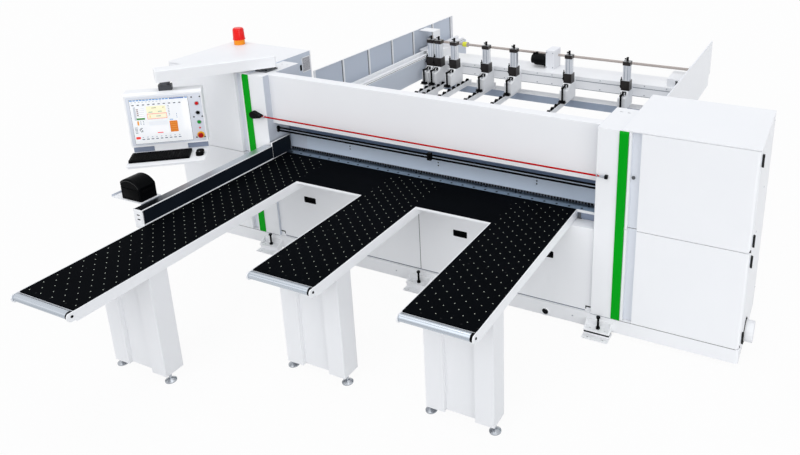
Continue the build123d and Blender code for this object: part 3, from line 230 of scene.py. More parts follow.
# Finishes
def linear(code):
    """An sRGB hex colour as linear red, green, blue and alpha."""
    channels = [int(code[i:i + 2], 16) / 255 for i in (0, 2, 4)]
    return [c / 12.92 if c <= 0.04045 else ((c + 0.055) / 1.055) ** 2.4 for c in channels] + [1.0]


def node(tree, kind, links=(), **settings):
    """Adds a node: settings go to its fields or else to sockets of that name, links or values to sockets."""
    made = tree.nodes.new(kind)
    for key, value in settings.items():
        if hasattr(made, key):
            setattr(made, key, value)
        else:
            made.inputs[key.replace("_", " ")].default_value = value
    for socket, source in dict(links).items():
        if isinstance(source, bpy.types.NodeSocket):
            tree.links.new(source, made.inputs[socket])
        else:
            made.inputs[socket].default_value = source
    return made


def blank(name):
    """A new material with its Principled shader and its Object coordinates."""
    material = bpy.data.materials.new(name)
    material.use_nodes = True
    tree = material.node_tree
    shader = tree.nodes["Principled BSDF"]
    spot = node(tree, "ShaderNodeTexCoord").outputs["Object"]
    return material, tree, shader, spot


def zone(tree, spot, axis, low, high, fade=0.5):
    """1 between two places along an axis in mm, 0 elsewhere, as the product of two ramps that fade; an axis
    in bars is measured from the middle both ways."""
    parts = node(tree, "ShaderNodeSeparateXYZ", {0: spot})
    value = parts.outputs["XYZ".index(axis.strip("|"))]
    if axis.startswith("|"):
        value = node(tree, "ShaderNodeMath", {0: value}, operation="ABSOLUTE").outputs[0]
    ramps = []
    for at, first, last in ((low, 0, 1), (high, 1, 0)):
        ends = {1: (at - fade) * MM, 2: (at + fade) * MM, 3: first, 4: last}
        ramps.append(node(tree, "ShaderNodeMapRange", {0: value, **ends}).outputs[0])
    return node(tree, "ShaderNodeMath", dict(enumerate(ramps)), operation="MULTIPLY").outputs[0]


def coated(name, light, dark, rough=(0.35, 0.5), cloud=400, grain=3, depth=0.02, metallic=0.0,
           stretch=(1, 1, 1), zones=(), shine=0.5, drawn=False, on=""):
    """A finish that varies a little: a broad cloud (size in mm) between two colours, a fine grain (in mm) for
    bump and roughness, other colours in zones (colour, then spans of axis, low, high and fade). The grain,
    and on a drawn finish the cloud too, is stretched along the axes. The built parts it is on wear it."""
    material, tree, shader, spot = blank(name)
    lines = node(tree, "ShaderNodeMapping", {0: spot}, Scale=stretch).outputs[0]
    under = lines if drawn else spot
    broad = node(tree, "ShaderNodeTexNoise", {"Vector": under}, Scale=1000 / cloud, Detail=3.0)
    clouds = {0: broad.outputs[0], 6: linear(dark), 7: linear(light)}
    colour = node(tree, "ShaderNodeMix", clouds, data_type="RGBA").outputs[2]
    for code, first, *others in zones:
        mask = zone(tree, spot, *first)
        for other in others:
            both = {0: mask, 1: zone(tree, spot, *other)}
            mask = node(tree, "ShaderNodeMath", both, operation="MULTIPLY").outputs[0]
        coats = {0: mask, 6: colour, 7: linear(code)}
        colour = node(tree, "ShaderNodeMix", coats, data_type="RGBA").outputs[2]
    tree.links.new(colour, shader.inputs["Base Color"])
    fine = node(tree, "ShaderNodeTexNoise", {"Vector": lines}, Scale=1000 / grain, Detail=4.0)
    gloss = node(tree, "ShaderNodeMapRange", {0: fine.outputs[0], 3: rough[0], 4: rough[1]})
    tree.links.new(gloss.outputs[0], shader.inputs["Roughness"])
    bump = node(tree, "ShaderNodeBump", {"Height": fine.outputs[0]}, Strength=0.5, Distance=depth * MM)
    tree.links.new(bump.outputs[0], shader.inputs["Normal"])
    shader.inputs["Metallic"].default_value = metallic
    shader.inputs["Specular IOR Level"].default_value = shine
    for part in on.split():
        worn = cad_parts[part].data.materials
        worn.clear()
        worn.append(material)
    return material


# End of a zone that runs on past the machine, and colours that several finishes share
FAR = 9000
INK, STONE = "101113", "A9AEB5"
# Powder coat, sprayed and baked: an even satin white with a fine orange peel, drawn at 6 mm so that it shows
POWDER = dict(light="F4F5F6", dark="F0F1F3", rough=(0.36, 0.5), grain=6, depth=0.06, shine=0.25)


def powder(kind, on, *zones):
    """The white powder coat, of a kind that has zones in other colours."""
    return coated("white_powder_coat" + kind, **POWDER, zones=zones, on=on)


# Body: the plain coat
WHITE = powder("", "base_frame bridge_beam beam_cover anchor_brackets dust_outlet table_frames keyboard_tray "
               "roller_bars pusher_beam bed_panels saw_bed")
# Cabinets: bare black hinges screwed on, and the faces beside the columns in a cooler grey: painted shade
powder("_black_hinges_inner_shade", "cabinets", (INK, ("|X|", CABINET_OUT + 1, FAR)),
       ("CDD5E0", ("|X|", 0, COLUMN_OUT + 0.6)))
# Doors: black hinges, and a duller blue-grey on the floor of the pull groove: painted shade
powder("_groove_painted_shade", "left_lower_door left_upper_door right_lower_door right_upper_door",
       ("DEE2E9", ("Y", -404.5, -402)), (INK, ("|X|", CABINET_OUT + 1, FAR)))
# Panel housing: the swivel's casting on top in dull dark grey
powder("_grey_swivel", "panel_housing", ("46484C", ("Z", 1640.6, FAR)))
# Arm: the stub below it in dull grey
powder("_grey_stub", "control_arm", ("5A5C60", ("Z", 0, 1724.6)))
# Columns: the faces towards the opening in a cooler grey, painted shade so that the opening reads as a recess
powder("_reveal_painted_shade", "columns", ("C9CFD9", ("|X|", 0, COLUMN_IN + 1)))
# Side walls: inner skins in a cooler grey, painted shade; ribs and edges left white
powder("_inner_skin_painted_shade", "side_walls", ("C3CBD7", ("|X|", 1688.2, 1690.2)))
# Pusher rails: a paler blue-grey on the faces towards the middle, painted shade
powder("_inside_painted_shade", "pusher_rails", ("D2D9E3", ("|X|", 0, 1490.6)))
# Portal: white posts, the cross beam in a flat slate blue-grey: painted shade under the pusher beam
powder("_beam_painted_shade", "rear_frame", ("99A4B5", ("Z", 700, 853), ("|X|", 0, 1480)))
# Shelf: white on top, its underside, rim and rib in a cooler grey: painted shade
powder("_underside_painted_shade", "printer_shelf", ("C2C8D2", ("Z", 0, 1060.5)))
# Gripper brackets: jaw plates blackened
powder("_black_jaw", "gripper_brackets", (INK, ("Y", 0, 2089.6)))
# Legs: the same coat a little greyer than the body: painted shade from the tables above them
coated("white_powder_coat_leg_shade", **{**POWDER, "light": "EDEEEF", "dark": "E9EAEC"}, on="table_legs")
# Sheet behind the front: a cooler grey coat that reads as lilac next to the white
SATIN = dict(rough=(0.36, 0.48), grain=6, depth=0.06)
GREY = coated("lilac_grey_powder_coat", "CDD3DE", "C4CBD7", **SATIN, on="control_gear saw_carriage")
# Pressure beam: a little bluer, its upper part, where the guide rods pass, darker: the beam cover's shadow
# painted on
coated("blue_grey_powder_coat_painted_shadow", "CAD5E3", "C0CCDB", **SATIN, shine=0.3, zones=[("7183A0", ("Z", 1111, FAR))],
       on="pressure_beam")
# Corner strips: a saturated green coat, satin, with little white glare
coated("green_powder_coat", "00A51A", "009C17", **SATIN, shine=0.06, on="corner_strips")
# Black coat on steel: deep and satin, a soft edge light only
ENAMEL = dict(light="0D0E10", dark="08090A", rough=(0.38, 0.52), grain=5, depth=0.08)
BLACK_METAL = coated("black_powder_coat", **ENAMEL, shine=0.06, on="gripper_levers side_aligner")
# Drive: black enamelled motor beside a white gearbox
coated("black_enamel_white_gearbox", **ENAMEL, shine=0.1, zones=[("EEEFF2", ("X", -52.5, FAR))],
       on="pusher_drive")
# Painted shade: a flat blue-grey coat for sheet that sits in shade
SLATE_SHADE = coated("slate_painted_shade", "8B95A8", "7F899C", rough=(0.45, 0.6), grain=5, depth=0.05, shine=0.2)
# Castings in grey enamel: mid grey, slightly rough
DARK_METAL = coated("dark_grey_enamel", "5A5D61", "4D5055", grain=5, depth=0.06, on="arm_pivot saw_head")
# Brushed aluminium: fine lines along X that stretch and break the highlight
BRUSHED = dict(rough=(0.2, 0.42), depth=0.03, metallic=1, stretch=(0.02, 1, 1))
coated("brushed_aluminium", "CDD1D7", "BDC2CA", **BRUSHED, on="rear_table lift_cylinders")
# Anodised strip: the same brush lines under a darker blue-grey skin
coated("anodised_aluminium_strip", "A6B5C1", "99A8B5", **BRUSHED, on="table_strip")
# Roller tubes: drawn aluminium, with grey and bright lines along the whole tube: painted reflection bands
coated("aluminium_tube_painted_reflections", "E8EEF6", "76828F", rough=(0.2, 0.34), cloud=11, depth=0.03, metallic=1,
       stretch=(0.004, 1, 1), drawn=True, on="left_roller middle_roller right_roller")
# Fence profile: silver, drawn along Y, its top painted dark at the front and bright towards the back: a
# painted reflection
coated("aluminium_fence_painted_reflection", "CED2D8", "C2C7CE", rough=(0.26, 0.4), metallic=1, stretch=(1, 0.02, 1),
       zones=[("30363F", ("Y", -2400, -1330, 330), ("Z", 1050, FAR))], on="side_fence")
# Gripper cylinders: pale drawn aluminium between dark cast blocks, the cap nearly black
coated("aluminium_profile_dark_caps", "F3F5F8", "E6E9EE", rough=(0.26, 0.42), depth=0.03, metallic=0.7,
       zones=[("332F2E", ("Z", 0, 1228)), ("3A3533", ("Z", 1394, 1435)), ("101012", ("Z", 1435, FAR))],
       stretch=(1, 1, 0.02), on="gripper_cylinders")
# Grooves of the cylinder profile: the same aluminium in a darker grey, painted shade of the groove as a soft
# grey line
GROOVE = coated("shaded_aluminium_groove", "A2A9B3", "949BA6", rough=(0.4, 0.55), shine=0.2)
# Turned steel: bright, cool, with a tight highlight
STEEL = coated("bright_turned_steel", "C2C5C9", "AEB2B8", rough=(0.2, 0.36), grain=4, depth=0.03, metallic=1)
# Cross shaft: drawn steel under a brown film of grease, duller than the turned parts
coated("greased_drawn_steel", "B9AFA9", "A89D97", rough=(0.36, 0.5), grain=4, depth=0.03, shine=0.3,
       stretch=(0.02, 1, 1), on="cross_shaft")
# Feet: zinc-bright discs; the jack bolts by the base blackened
coated("bright_steel_black_jacks", "B9BDC3", "A4A9B0", rough=(0.18, 0.34), grain=4, depth=0.03, metallic=1,
       zones=[("0E0F10", ("|Y|", 0, 1000))], on="levelling_feet")
# Ground blade steel: pale mirror with a fine grind
coated("ground_blade_steel", "CDD0D4", "BFC3C8", rough=(0.16, 0.3), metallic=1, on="main_blade scoring_blade")
# Blackened steel: dark oiled skin with a thin cold sheen
DARK_STEEL = coated("blackened_steel", "121417", "0C0E10", rough=(0.28, 0.42), grain=4, depth=0.03, shine=0.1)
# Guide rods: blackened and oiled, darker than the bolts
coated("oiled_black_steel", "07080A", "040506", rough=(0.3, 0.44), grain=4, shine=0.02, on="guide_rods")
# Phenolic board: dense black laminate, pressed smooth, with a faint cloud and almost no gloss
coated("black_phenolic_board", "0B0D11", "06080A", rough=(0.42, 0.58), cloud=260, grain=2.5, depth=0.04,
       shine=0.004, on="table_tops")
# Laminate strip on the fence: black, a little glossier, wiped along its length by the boards
coated("black_laminate_fence_face", "1B222B", "11161D", rough=(0.3, 0.5), cloud=180, depth=0.03,
       stretch=(1, 0.03, 1), shine=0.03, on="fence_face")
# Moulded ABS: black with a fine spark texture, drawn at 1.6 mm so that it shows
ABS = dict(light="0B0C0D", dark="070708", rough=(0.36, 0.5), cloud=120, grain=1.6)
BLACK_PLASTIC = coated("black_moulded_abs", **ABS, depth=0.06, shine=0.02,
                       on="keyboard_and_mouse black_button")
# Pull switch: the same ABS, its eyelets and tightener in plain steel grey
coated("black_abs_steel_fittings", **ABS, depth=0.05, shine=0.06,
       zones=[(STONE, ("X", 0, 1598)), (STONE, ("X", -1546, -1500))], on="rope_fittings")
# Printer case: smoother ABS, deep black with clear soft lights along its curves
coated("black_polished_abs", "07080A", "040506", rough=(0.2, 0.3), cloud=90, grain=2, shine=0.025,
       on="label_printer printer_lid")
# Printer edges: the same ABS polished by handling, bright along the bead
GLOSS_EDGE = coated("black_abs_polished_edge", "15171A", "0C0D0F", rough=(0.14, 0.22), cloud=90, grain=2,
                    depth=0.01, shine=0.45)
# Rubber: black, dull and slightly grained
SOFT = dict(rough=(0.6, 0.8), cloud=60, grain=2)
RUBBER = coated("black_rubber", "0E0E10", "08080A", **SOFT, depth=0.1, shine=0.04, on="bar_wheels")
# Rubber lip: brown-black, dull, a thin dark line wherever two sheets meet
LIP = coated("brown_black_rubber_lip", "2E2A29", "262322", **SOFT, depth=0.05, shine=0.05)
# Red push button and lamp: a clear signal red with a smooth cap
CAP = dict(rough=(0.22, 0.34), cloud=80)
RED = coated("red_moulded_plastic", "DC1218", "CC0C12", **CAP, shine=0.3, on="red_button")
# Emergency stop: the same plastic in a deeper red, a little duller
coated("deep_red_moulded_plastic", "B01012", "A00C0E", **CAP, shine=0.2, on="emergency_stop")
# Green push button: the same plastic in a full leaf green
coated("green_moulded_plastic", "0BA335", "08942E", **CAP, shine=0.3, on="green_button")
# Ring under the emergency stop: a warm yellow, smooth but less glossy
YELLOW = coated("yellow_moulded_plastic", "F4B912", "EAAE0A", rough=(0.3, 0.42), cloud=80)
# Beacon: polycarbonate, saturated red lens on an orange cap
BEACON = coated("red_lens_orange_base", "F0100C", "E00A08", rough=(0.2, 0.3), cloud=80, shine=0.3,
                zones=[("F59A14", ("Z", 0, 1749.8))], on="beacon")
# Cast polyurethane: soft lime sleeve, nearly matt
LIME = coated("lime_polyurethane", "E3E43A", "D6D82C", rough=(0.4, 0.55), cloud=60, depth=0.03)
# Rope in a plastic sheath: red, smooth, faintly uneven, with no glare
ROPE = coated("red_sheathed_rope", "BC0F15", "AA0B10", rough=(0.45, 0.6), cloud=60, depth=0.05, shine=0.0,
              on="stop_rope")
# Acetal nozzles: pale, slightly waxy
NOZZLE = coated("pale_acetal", "C0C8BA", "AEB6A8", cloud=60, grain=2)
# Printed film on the panel: pale blue-grey, flat and matt
PLATE = coated("pale_blue_grey_panel_film", "DCE0E8", "D6DAE3", rough=(0.4, 0.5), cloud=200, grain=2)
# Bare gap: painted shade in slots, holes and bores, close to black with no gloss; dark screw heads wear it
# too
VOID = coated("unlit_slot", "131417", "0C0D0F", rough=(0.7, 0.9), cloud=60, shine=0.1)
# Foam seal: light grey, dull
SEAL = coated("grey_foam_seal", "7C838D", "727984", rough=(0.6, 0.75), cloud=60, depth=0.03, shine=0.2)
# Gauze: woven steel wire, warm grey and slightly mottled
GAUZE = coated("steel_wire_gauze", "8F8D92", "7C7A80", rough=(0.45, 0.6), cloud=6, depth=0.1, shine=0.3)


# Small parts used in many places
def screw(radius, height, sides=10):
    """Socket screw head standing on Z = 0: rounded rim, flat top, sunk socket."""
    return turned([(radius, 0), (radius, 0.6 * height), (0.85 * radius, height), (0.5 * radius, height),
                   (0.45 * radius, 0.3 * height)], sides)


def cup(half_u, half_v, lip, depth, wall=3):
    """Pull cup facing +Z: rounded outlines grown by so much at each height, up the outside of the pocket,
    over the lip and down inside to its floor."""
    steps = [(-wall, -depth), (0, wall - depth), (0, 0), (lip, 0), (lip, 1.2), (lip - 1, 2), (-wall, 2),
             (-wall - 1, 0.5), (-2 * wall, 2 * wall - depth)]
    grown, heights = np.array(steps).T
    return stacked([rounded(half_u + g, half_v + g, min(8, (half_v + g) * 0.6)) for g in grown], heights)


# Table boards: air nozzles in rows of four and five by turns, one more row on the long board, edge screws
BOARD_FACE = TABLE_TOP - 0.1
NOZZLE_PITCH, ROW_PITCH = 106.5, 48.2
FIRST_ROW, LAST_ROW, LONG_BOARD_SHIFT = 58, 60, 26
SCREW_IN, SCREW_OUT = 137, 244
nozzle = turned([(3.5, 0.0), (3.5, 0.5), (2.8, 0.9), (1.2, 0.9), (0.8, 0.5)], 8)
fours = NOZZLE_PITCH * (np.arange(4) - 1.5)
fives = NOZZLE_PITCH * (np.arange(5) - 2.0)
spots, heads = [], []
for centre, front in zip(TABLE_CENTRES, TABLE_FRONTS):
    first, last = front + FIRST_ROW, TABLE_REAR - LAST_ROW
    count = 2 * round((last - first) / ROW_PITCH / 2) + 1
    if front == min(TABLE_FRONTS):
        rows = np.linspace(first + LONG_BOARD_SHIFT, last, count)
        spots.append(grid(centre + fives, [2 * rows[0] - rows[1]], [BOARD_FACE]))
    else:
        rows = np.linspace(first, last, count)
    spots.append(grid(centre + fours, rows[::2], [BOARD_FACE]))
    spots.append(grid(centre + fives, rows[1::2], [BOARD_FACE]))
    inner = centre + SCREW_IN * np.array([-1, 0, 1])
    outer = centre + SCREW_OUT * np.array([-1, 1])
    heads.append(grid([outer[0], *inner, outer[1]], [front + 26], [BOARD_FACE]))
    heads.append(grid(inner, [front + 646], [BOARD_FACE]))
    heads.append(grid(outer, np.arange(front + 219, last, 193), [BOARD_FACE]))
piece("air_nozzles", repeated(nozzle, np.concatenate(spots)), NOZZLE)
piece("board_screws", repeated(screw(7, 0.8), np.concatenate(heads)), VOID)

# Front rollers: a black bearing ring at the right end of each, and the bolts in the white cheeks
axes = [(centre, front - ROLLER_REACH, TABLE_TOP - ROLLER_DROP)
        for centre, front in zip(TABLE_CENTRES, TABLE_FRONTS)]
bearing = aimed(collar([(26.3, -12), (27.2, -12), (27.6, -10.5), (27.6, 7), (26.3, 7)], 48), "+x")
piece("roller_bearings", repeated(bearing, np.array(axes) + (242.6, 0, 0)), RUBBER)
bolts = [aimed(screw(8, 4, 16), way, x + side * (TABLE_HALF - SINK), y, z)
         for x, y, z in axes for side, way in ((-1, "-x"), (1, "+x"))]
piece("cheek_bolts", bolts, BLACK_METAL)

# Table strip: screws in rows (first, pitch, depth); at its right end a cover in slate blue-grey, painted
# shade, a stop and a white edge
strip_rows = ((-1440, 104, -258), (-1400, 312, -200), (-1356, 312, -200))
strip_heads = [grid(np.arange(first, 1450, pitch), [y], [BOARD_FACE]) for first, pitch, y in strip_rows]
piece("strip_screws", repeated(screw(10, 0.8), np.concatenate(strip_heads)), VOID)
cover = slab((1343, 1500), (TABLE_REAR - 3.5, TABLE_REAR + SINK), (862, 912), edge=0.8)
piece("strip_end_cover", cover, SLATE_SHADE)
stop_depth = TABLE_REAR - 11, TABLE_REAR - 3.3
stop = [slab((1349, 1374), stop_depth, (869, 909), corner=2, edge=1.5),
        slab((1344, 1382), stop_depth, (862, 867), corner=2, edge=1.5)]
piece("strip_end_stop", stop, DARK_METAL)
edge = slab((1342, 1489), (TABLE_REAR - 4, TABLE_REAR + SINK), (914, 935.4), edge=0.8)
piece("strip_end_edge", edge, WHITE)

# Pressure beam: rubber teeth on a pale strip along the lower edge, curtain ribs at the left, screws in pairs
TEETH_LOW = 938.6
face = PRESSURE_FACE + SINK
backing = slab((-1500, 1500), (PRESSURE_FACE - 1.6, face), (TEETH_LOW, 957), corner=0.8)
piece("tooth_strip", backing, SEAL, "pressure")
tooth = slab((-8.5, 8.5), (PRESSURE_FACE - 7, PRESSURE_FACE - 1), (TEETH_LOW, 956), corner=1.2, edge=1.2,
             per_corner=2, steps=2)
teeth = repeated(tooth, grid(np.arange(-1484, 1485, 26)))
piece("pressure_teeth", teeth, RUBBER, "pressure")
rib = slab((-4, 4), (PRESSURE_FACE - 2.2, face), (956, 1130), edge=1, per_corner=2, steps=2)
ribs = repeated(rib, grid(np.arange(-1480, -1320, 12)))
piece("curtain_ribs", ribs, GREY, "pressure")
face_heads = grid([-840, 60, 960], [face], [1034, 1060])
piece("pressure_screws", repeated(aimed(screw(6, 3), "-y"), face_heads), DARK_STEEL, "pressure")

# Control panel: front film, and the screen with a plain working picture
FILM_FACE = PANEL_FACE + 1
SCREEN_U, SCREEN_V = (PANEL_MIDDLE - 268, PANEL_MIDDLE + 191), (1192, 1588)
film = slab((PANEL_MIDDLE - 293, PANEL_MIDDLE + 293), (1177, 1608), (PANEL_FACE - SINK, PANEL_FACE + 1.2),
            corner=10, edge=0.8)
piece("panel_film", on_panel(film), PLATE, "control_panel")
glass = slab(SCREEN_U, SCREEN_V, (FILM_FACE, PANEL_FACE + 2.2), corner=3)
piece("screen_glass", on_panel(glass), BLACK_PLASTIC, "control_panel")


def run(count, across, down, block, layer, colour):
    """A run of screen blocks: left, right, top, bottom of the first, the others shifted across and down."""
    left, right, top, bottom = block
    return [(left + across * i, right + across * i, top + down * i, bottom + down * i, layer, colour)
            for i in range(count)]


def picture():
    """The screen's picture: blocks as left, right, top, bottom (thousandths of it), layer and colour."""
    rows = [(4, 996, 5, 995, 0, "F3F5F7")]
    rows += run(12, 55, 0, (10, 55, 12, 34), 1, "3F8DCF")
    rows += [(680, 930, 12, 34, 1, "1F62AE"), (945, 990, 12, 34, 1, "3F8DCF")]
    rows += run(9, 60, 0, (30, 60, 58, 70), 1, "AEB4BC")
    rows += run(10, 88, 0, (35, 75, 115, 136), 1, "4C5056")
    rows += [(50, 225, 165, 460, 1, "C9CDD3"), (90, 222, 170, 415, 2, "FFFFFF")]
    rows += run(5, 0, 42, (90, 222, 205, 211), 3, "7F8791")
    rows += run(4, 0, 42, (100, 130, 216, 236), 3, "8A6A64")
    rows += [(85, 225, 415, 452, 3, "2E8B2B"), (85, 115, 480, 575, 1, "E9A13B")]
    rows += run(3, 0, 30, (135, 155, 490, 503), 1, "8C929A")
    rows += run(3, 0, 30, (180, 200, 490, 503), 1, "8C929A")
    rows += [(105 + 20 * i, 120 + 20 * i, 635 + 26 * j, 655 + 26 * j, 1, "44484E")
             for i in range(3) for j in range(4) if (i + j) % 3]
    rows += run(5, 0, 30, (30, 75, 620, 633), 1, "7B8189")
    rows += [(25, 100, 835, 888, 1, "EE3024"), (270, 600, 165, 325, 1, "FBF6D2"),
             (360, 440, 200, 215, 2, "9C9A7E"), (540, 580, 200, 212, 2, "9C9A7E"),
             (300, 370, 290, 305, 2, "6FA39A"), (460, 530, 285, 300, 2, "6FA39A"),
             (268, 606, 330, 455, 1, "F0866E"), (276, 598, 342, 443, 2, "FBF3D6"),
             (420, 500, 388, 402, 3, "6FA39A"), (310, 325, 370, 420, 3, "E8C95A"),
             (280, 600, 500, 600, 1, "ECEEF1"), (280, 600, 620, 800, 1, "FCFCFD"),
             (400, 500, 758, 782, 2, "EE5A63")]
    rows += run(7, 0, 36, (635, 660, 170, 184), 1, "8C929A")
    rows += [(640, 700, 485, 502, 1, "5C9BD0"), (630, 765, 525, 775, 1, "E07C1C")]
    rows += run(4, 0, 50, (645, 750, 560, 568), 2, "EFA45E")
    rows += run(3, 0, 40, (765, 775, 360, 385), 1, "9AA1B8")
    rows += [(870, 985, 100, 760, 1, "FFFFFF")]
    rows += run(9, 78, 0, (130, 160, 845, 860), 1, "A5ABB3")
    rows += run(9, 78, 0, (125, 170, 890, 910), 1, "6C727A")
    left, right, top, bottom, layer = np.array([row[:5] for row in rows]).T
    wide, tall = (SCREEN_U[1] - SCREEN_U[0]) / 1000, (SCREEN_V[1] - SCREEN_V[0]) / 1000
    out = PANEL_FACE + 2.1 + 0.12 * layer
    low = np.column_stack([SCREEN_U[0] + wide * left, SCREEN_V[1] - tall * bottom, out])
    high = np.column_stack([SCREEN_U[0] + wide * right, SCREEN_V[1] - tall * top, out + 0.14])
    return boxes(low, high), np.repeat([linear(row[5]) for row in rows], 8, 0)


def lit_screen(grain=1.5, rough=(0.25, 0.35), glow=0.12):
    """Display film: each block's own colour, smooth and faintly lit from behind; grain in millimetres."""
    material, tree, shader, spot = blank("lit_display_film")
    tint = node(tree, "ShaderNodeAttribute", attribute_name="tint")
    fine = node(tree, "ShaderNodeTexNoise", {"Vector": spot}, Scale=1000 / grain)
    gloss = node(tree, "ShaderNodeMapRange", {0: fine.outputs[0], 3: rough[0], 4: rough[1]})
    tree.links.new(tint.outputs["Color"], shader.inputs["Base Color"])
    tree.links.new(tint.outputs["Color"], shader.inputs["Emission Color"])
    tree.links.new(gloss.outputs[0], shader.inputs["Roughness"])
    shader.inputs["Emission Strength"].default_value = glow
    return material


shape, tints = picture()
piece("screen_picture", on_panel(shape), lit_screen(), "control_panel", tints)

# Control panel: button collars, ring of the emergency stop, lamp, screws, and blue-grey plates at the back of
# the tray: painted shade under the housing
BUTTON_U = PANEL_MIDDLE + 255
bezel = collar([(14.6, 0), (19, 0), (19, 3), (17.5, 5), (14.6, 5)], 32)
collars = [on_panel(moved(bezel, BUTTON_U, z, FILM_FACE)) for z in (1519, 1435, 1350)]
piece("button_collars", collars, STEEL, "control_panel")
stop_ring = collar([(10.6, 0), (30, 0), (30, 2), (28, 4), (10.6, 4)], 40)
piece("stop_ring", on_panel(moved(stop_ring, BUTTON_U, 1232, FILM_FACE)), YELLOW,
      "control_panel")
lamp = turned([(8, 0), (8, 2), (6.5, 3), (6.5, 5), (4, 7), (0.5, 7.6)], 20)
piece("panel_lamp", on_panel(moved(lamp, BUTTON_U, 1296, FILM_FACE)), RED, "control_panel")
panel_heads = grid([BUTTON_U - 36, BUTTON_U + 30], [1212, 1398, 1576], [FILM_FACE])
piece("panel_screws", on_panel(repeated(screw(6.5, 2), panel_heads)), VOID, "control_panel")
back_plates = [slab((PANEL_MIDDLE + low, PANEL_MIDDLE + high), (1109.8, 1165.2), (22, 28), corner=2, edge=1)
               for low, high in ((-298, -133), (133, 298))]
piece("tray_back_plates_painted_shade", on_panel(joined(*back_plates)), SLATE_SHADE, "control_panel")

# Keyboard keys in three fields, and the mouse wheel
KEY_PITCH, ROW_STEP, FIELD_GAP = 19.6, 27, 8
key = stacked([rounded(8.4, 11, 1.5, 2), rounded(6.4, 8.6, 1.5, 2)], [0, 5])
key_x = KEY_PITCH * np.arange(22) + FIELD_GAP * np.repeat([0, 1, 2], [15, 3, 4])
key_x += PANEL_MIDDLE - 61 - key_x.mean()
keys = grid(key_x, -190 + (np.arange(6) - 2.5) * ROW_STEP, [1129.5])
piece("keyboard_keys", on_panel(repeated(key, keys), lying=True), BLACK_PLASTIC,
      "control_panel")
wheel = aimed(turned([(7, -4), (9, -3), (9, 3), (7, 4)], 20), "+x", PANEL_MIDDLE + 250, -232, 1137)
piece("mouse_wheel", on_panel(wheel, lying=True), DARK_METAL, "control_panel")

# Bed: pull cups, rubber lip between the two front panels, ledges behind them, slots at their feet in painted
# shade
cups = [aimed(cup(58, 23, 6, 24), "-y", x, BED_FACE, 568) for x in (-1151, -385, 378, 1136)]
piece("pull_cups", cups, BLACK_PLASTIC)
ledges = [slab(ends, (BED_FACE + 2, TABLE_REAR + SINK), (855, 860), corner=2, edge=1)
          for ends in ((1342, 1524.6), (-1524.6, -1486))]
piece("bed_ledges", ledges, WHITE)
seam = slab((-14.5, -9.5), (BED_FACE - 0.6, BED_FACE + 2.5), (143, 856), corner=0.8)
piece("bed_seam", seam, LIP)
for name, side in (("left", -1), ("right", 1)):
    slot_depth = BED_FACE - 2, BED_FACE + SINK
    foot_slot = [slab(span(side, 1476, 1484), slot_depth, (160, 186), edge=0.4),
                 slab(span(side, 1476, 1524), slot_depth, (177, 187), edge=0.4)]
    piece(f"{name}_foot_slot", foot_slot, VOID)

# Cabinets: strips on the hinge side and a cross rail with a rubber lip between the doors, lip over the base
RAIL_DEPTH, CROSS_DEPTH, LIP_DEPTH = (-396.2, -390.8), (-395.8, -372), (-396.6, -395.5)
BASE_LIP_DEPTH = LIP_DEPTH[0], RAIL_DEPTH[1]
rails, seals = [], []
for side in SIDES:
    across = span(side, 1752, 2652)
    rails += [slab(span(side, 2630, 2652.6), RAIL_DEPTH, (146, 1688)),
              slab(across, CROSS_DEPTH, (902, 958), corner=3, edge=1.5)]
    seals += [slab(across, LIP_DEPTH, (918, 942), corner=0.4, edge=0.3),
              slab(across, BASE_LIP_DEPTH, (141.5, 160))]
piece("door_seals", seals, LIP)
piece("door_rails", rails, WHITE)

# Cabinets: side screws, vent with its gauze and a grommet above the left column, rear lips
side_heads = [(CABINET_OUT - SINK, y, z)
              for y, z in ((60, 1230), (-190, 985), (-330, 935), (380, 1640), (380, 200))]
piece("side_screws", repeated(aimed(screw(7, 3), "+x"), side_heads), STEEL)
VENT_FACE = -COLUMN_OUT - SINK
frame_depth, slat_depth = (VENT_FACE, -1702), (VENT_FACE, -1703.2)
vent = [slab(frame_depth, (y, y + 9), (1508, 1657), corner=1.5, edge=1.2) for y in (300, 416)]
vent += [slab(frame_depth, (300, 425), (z, z + 9), corner=1.5, edge=1.2) for z in (1508, 1648)]
vent += [slab(slat_depth, (306, 419), (z, z + 2.6), corner=0.8, edge=0.8) for z in np.arange(1521, 1648, 9)]
piece("cabinet_vent", vent, WHITE)
gauze = slab((VENT_FACE, -1704.4), (305, 420), (1514, 1651), corner=0.6, edge=0.4)
piece("vent_gauze", gauze, GAUZE)
grommet = aimed(prism(rounded(30, 13, 12.5, 6), 0, 3), "+x", VENT_FACE, 283, 1562)
piece("cable_grommet", grommet, RUBBER)
rear_lips = [slab(span(side, 1706.4, 1703.6), (425, 436.6), (150, 1696), edge=0.8) for side in SIDES]
piece("cabinet_rear_lips", rear_lips, WHITE)

# Cabinets: rear plates with louvres and screws
plates, louvres, plate_heads = [], [], []
for side in SIDES:
    x = side * CABINET_MIDDLE
    plate = slab((-420, 420), (-740, 740), (-SINK, 2.5), corner=14, edge=1)
    plates.append(aimed(plate, "+y", x, BACK, 920))
    louvres += [slab((x - 110, x + 110), (BACK + 2.2, BACK + 9), (z, z + 9), corner=4, edge=3)
                for z in np.arange(1350, 1560, 22)]
    plate_heads.append(grid(x + np.array([-400, 0, 400]), [BACK + 2.4], [200, 680, 1160, 1640]))
piece("rear_plates", plates, WHITE)
piece("rear_louvres", louvres, WHITE)
piece("rear_screws", repeated(aimed(screw(7, 3), "+y"), np.concatenate(plate_heads)), STEEL)

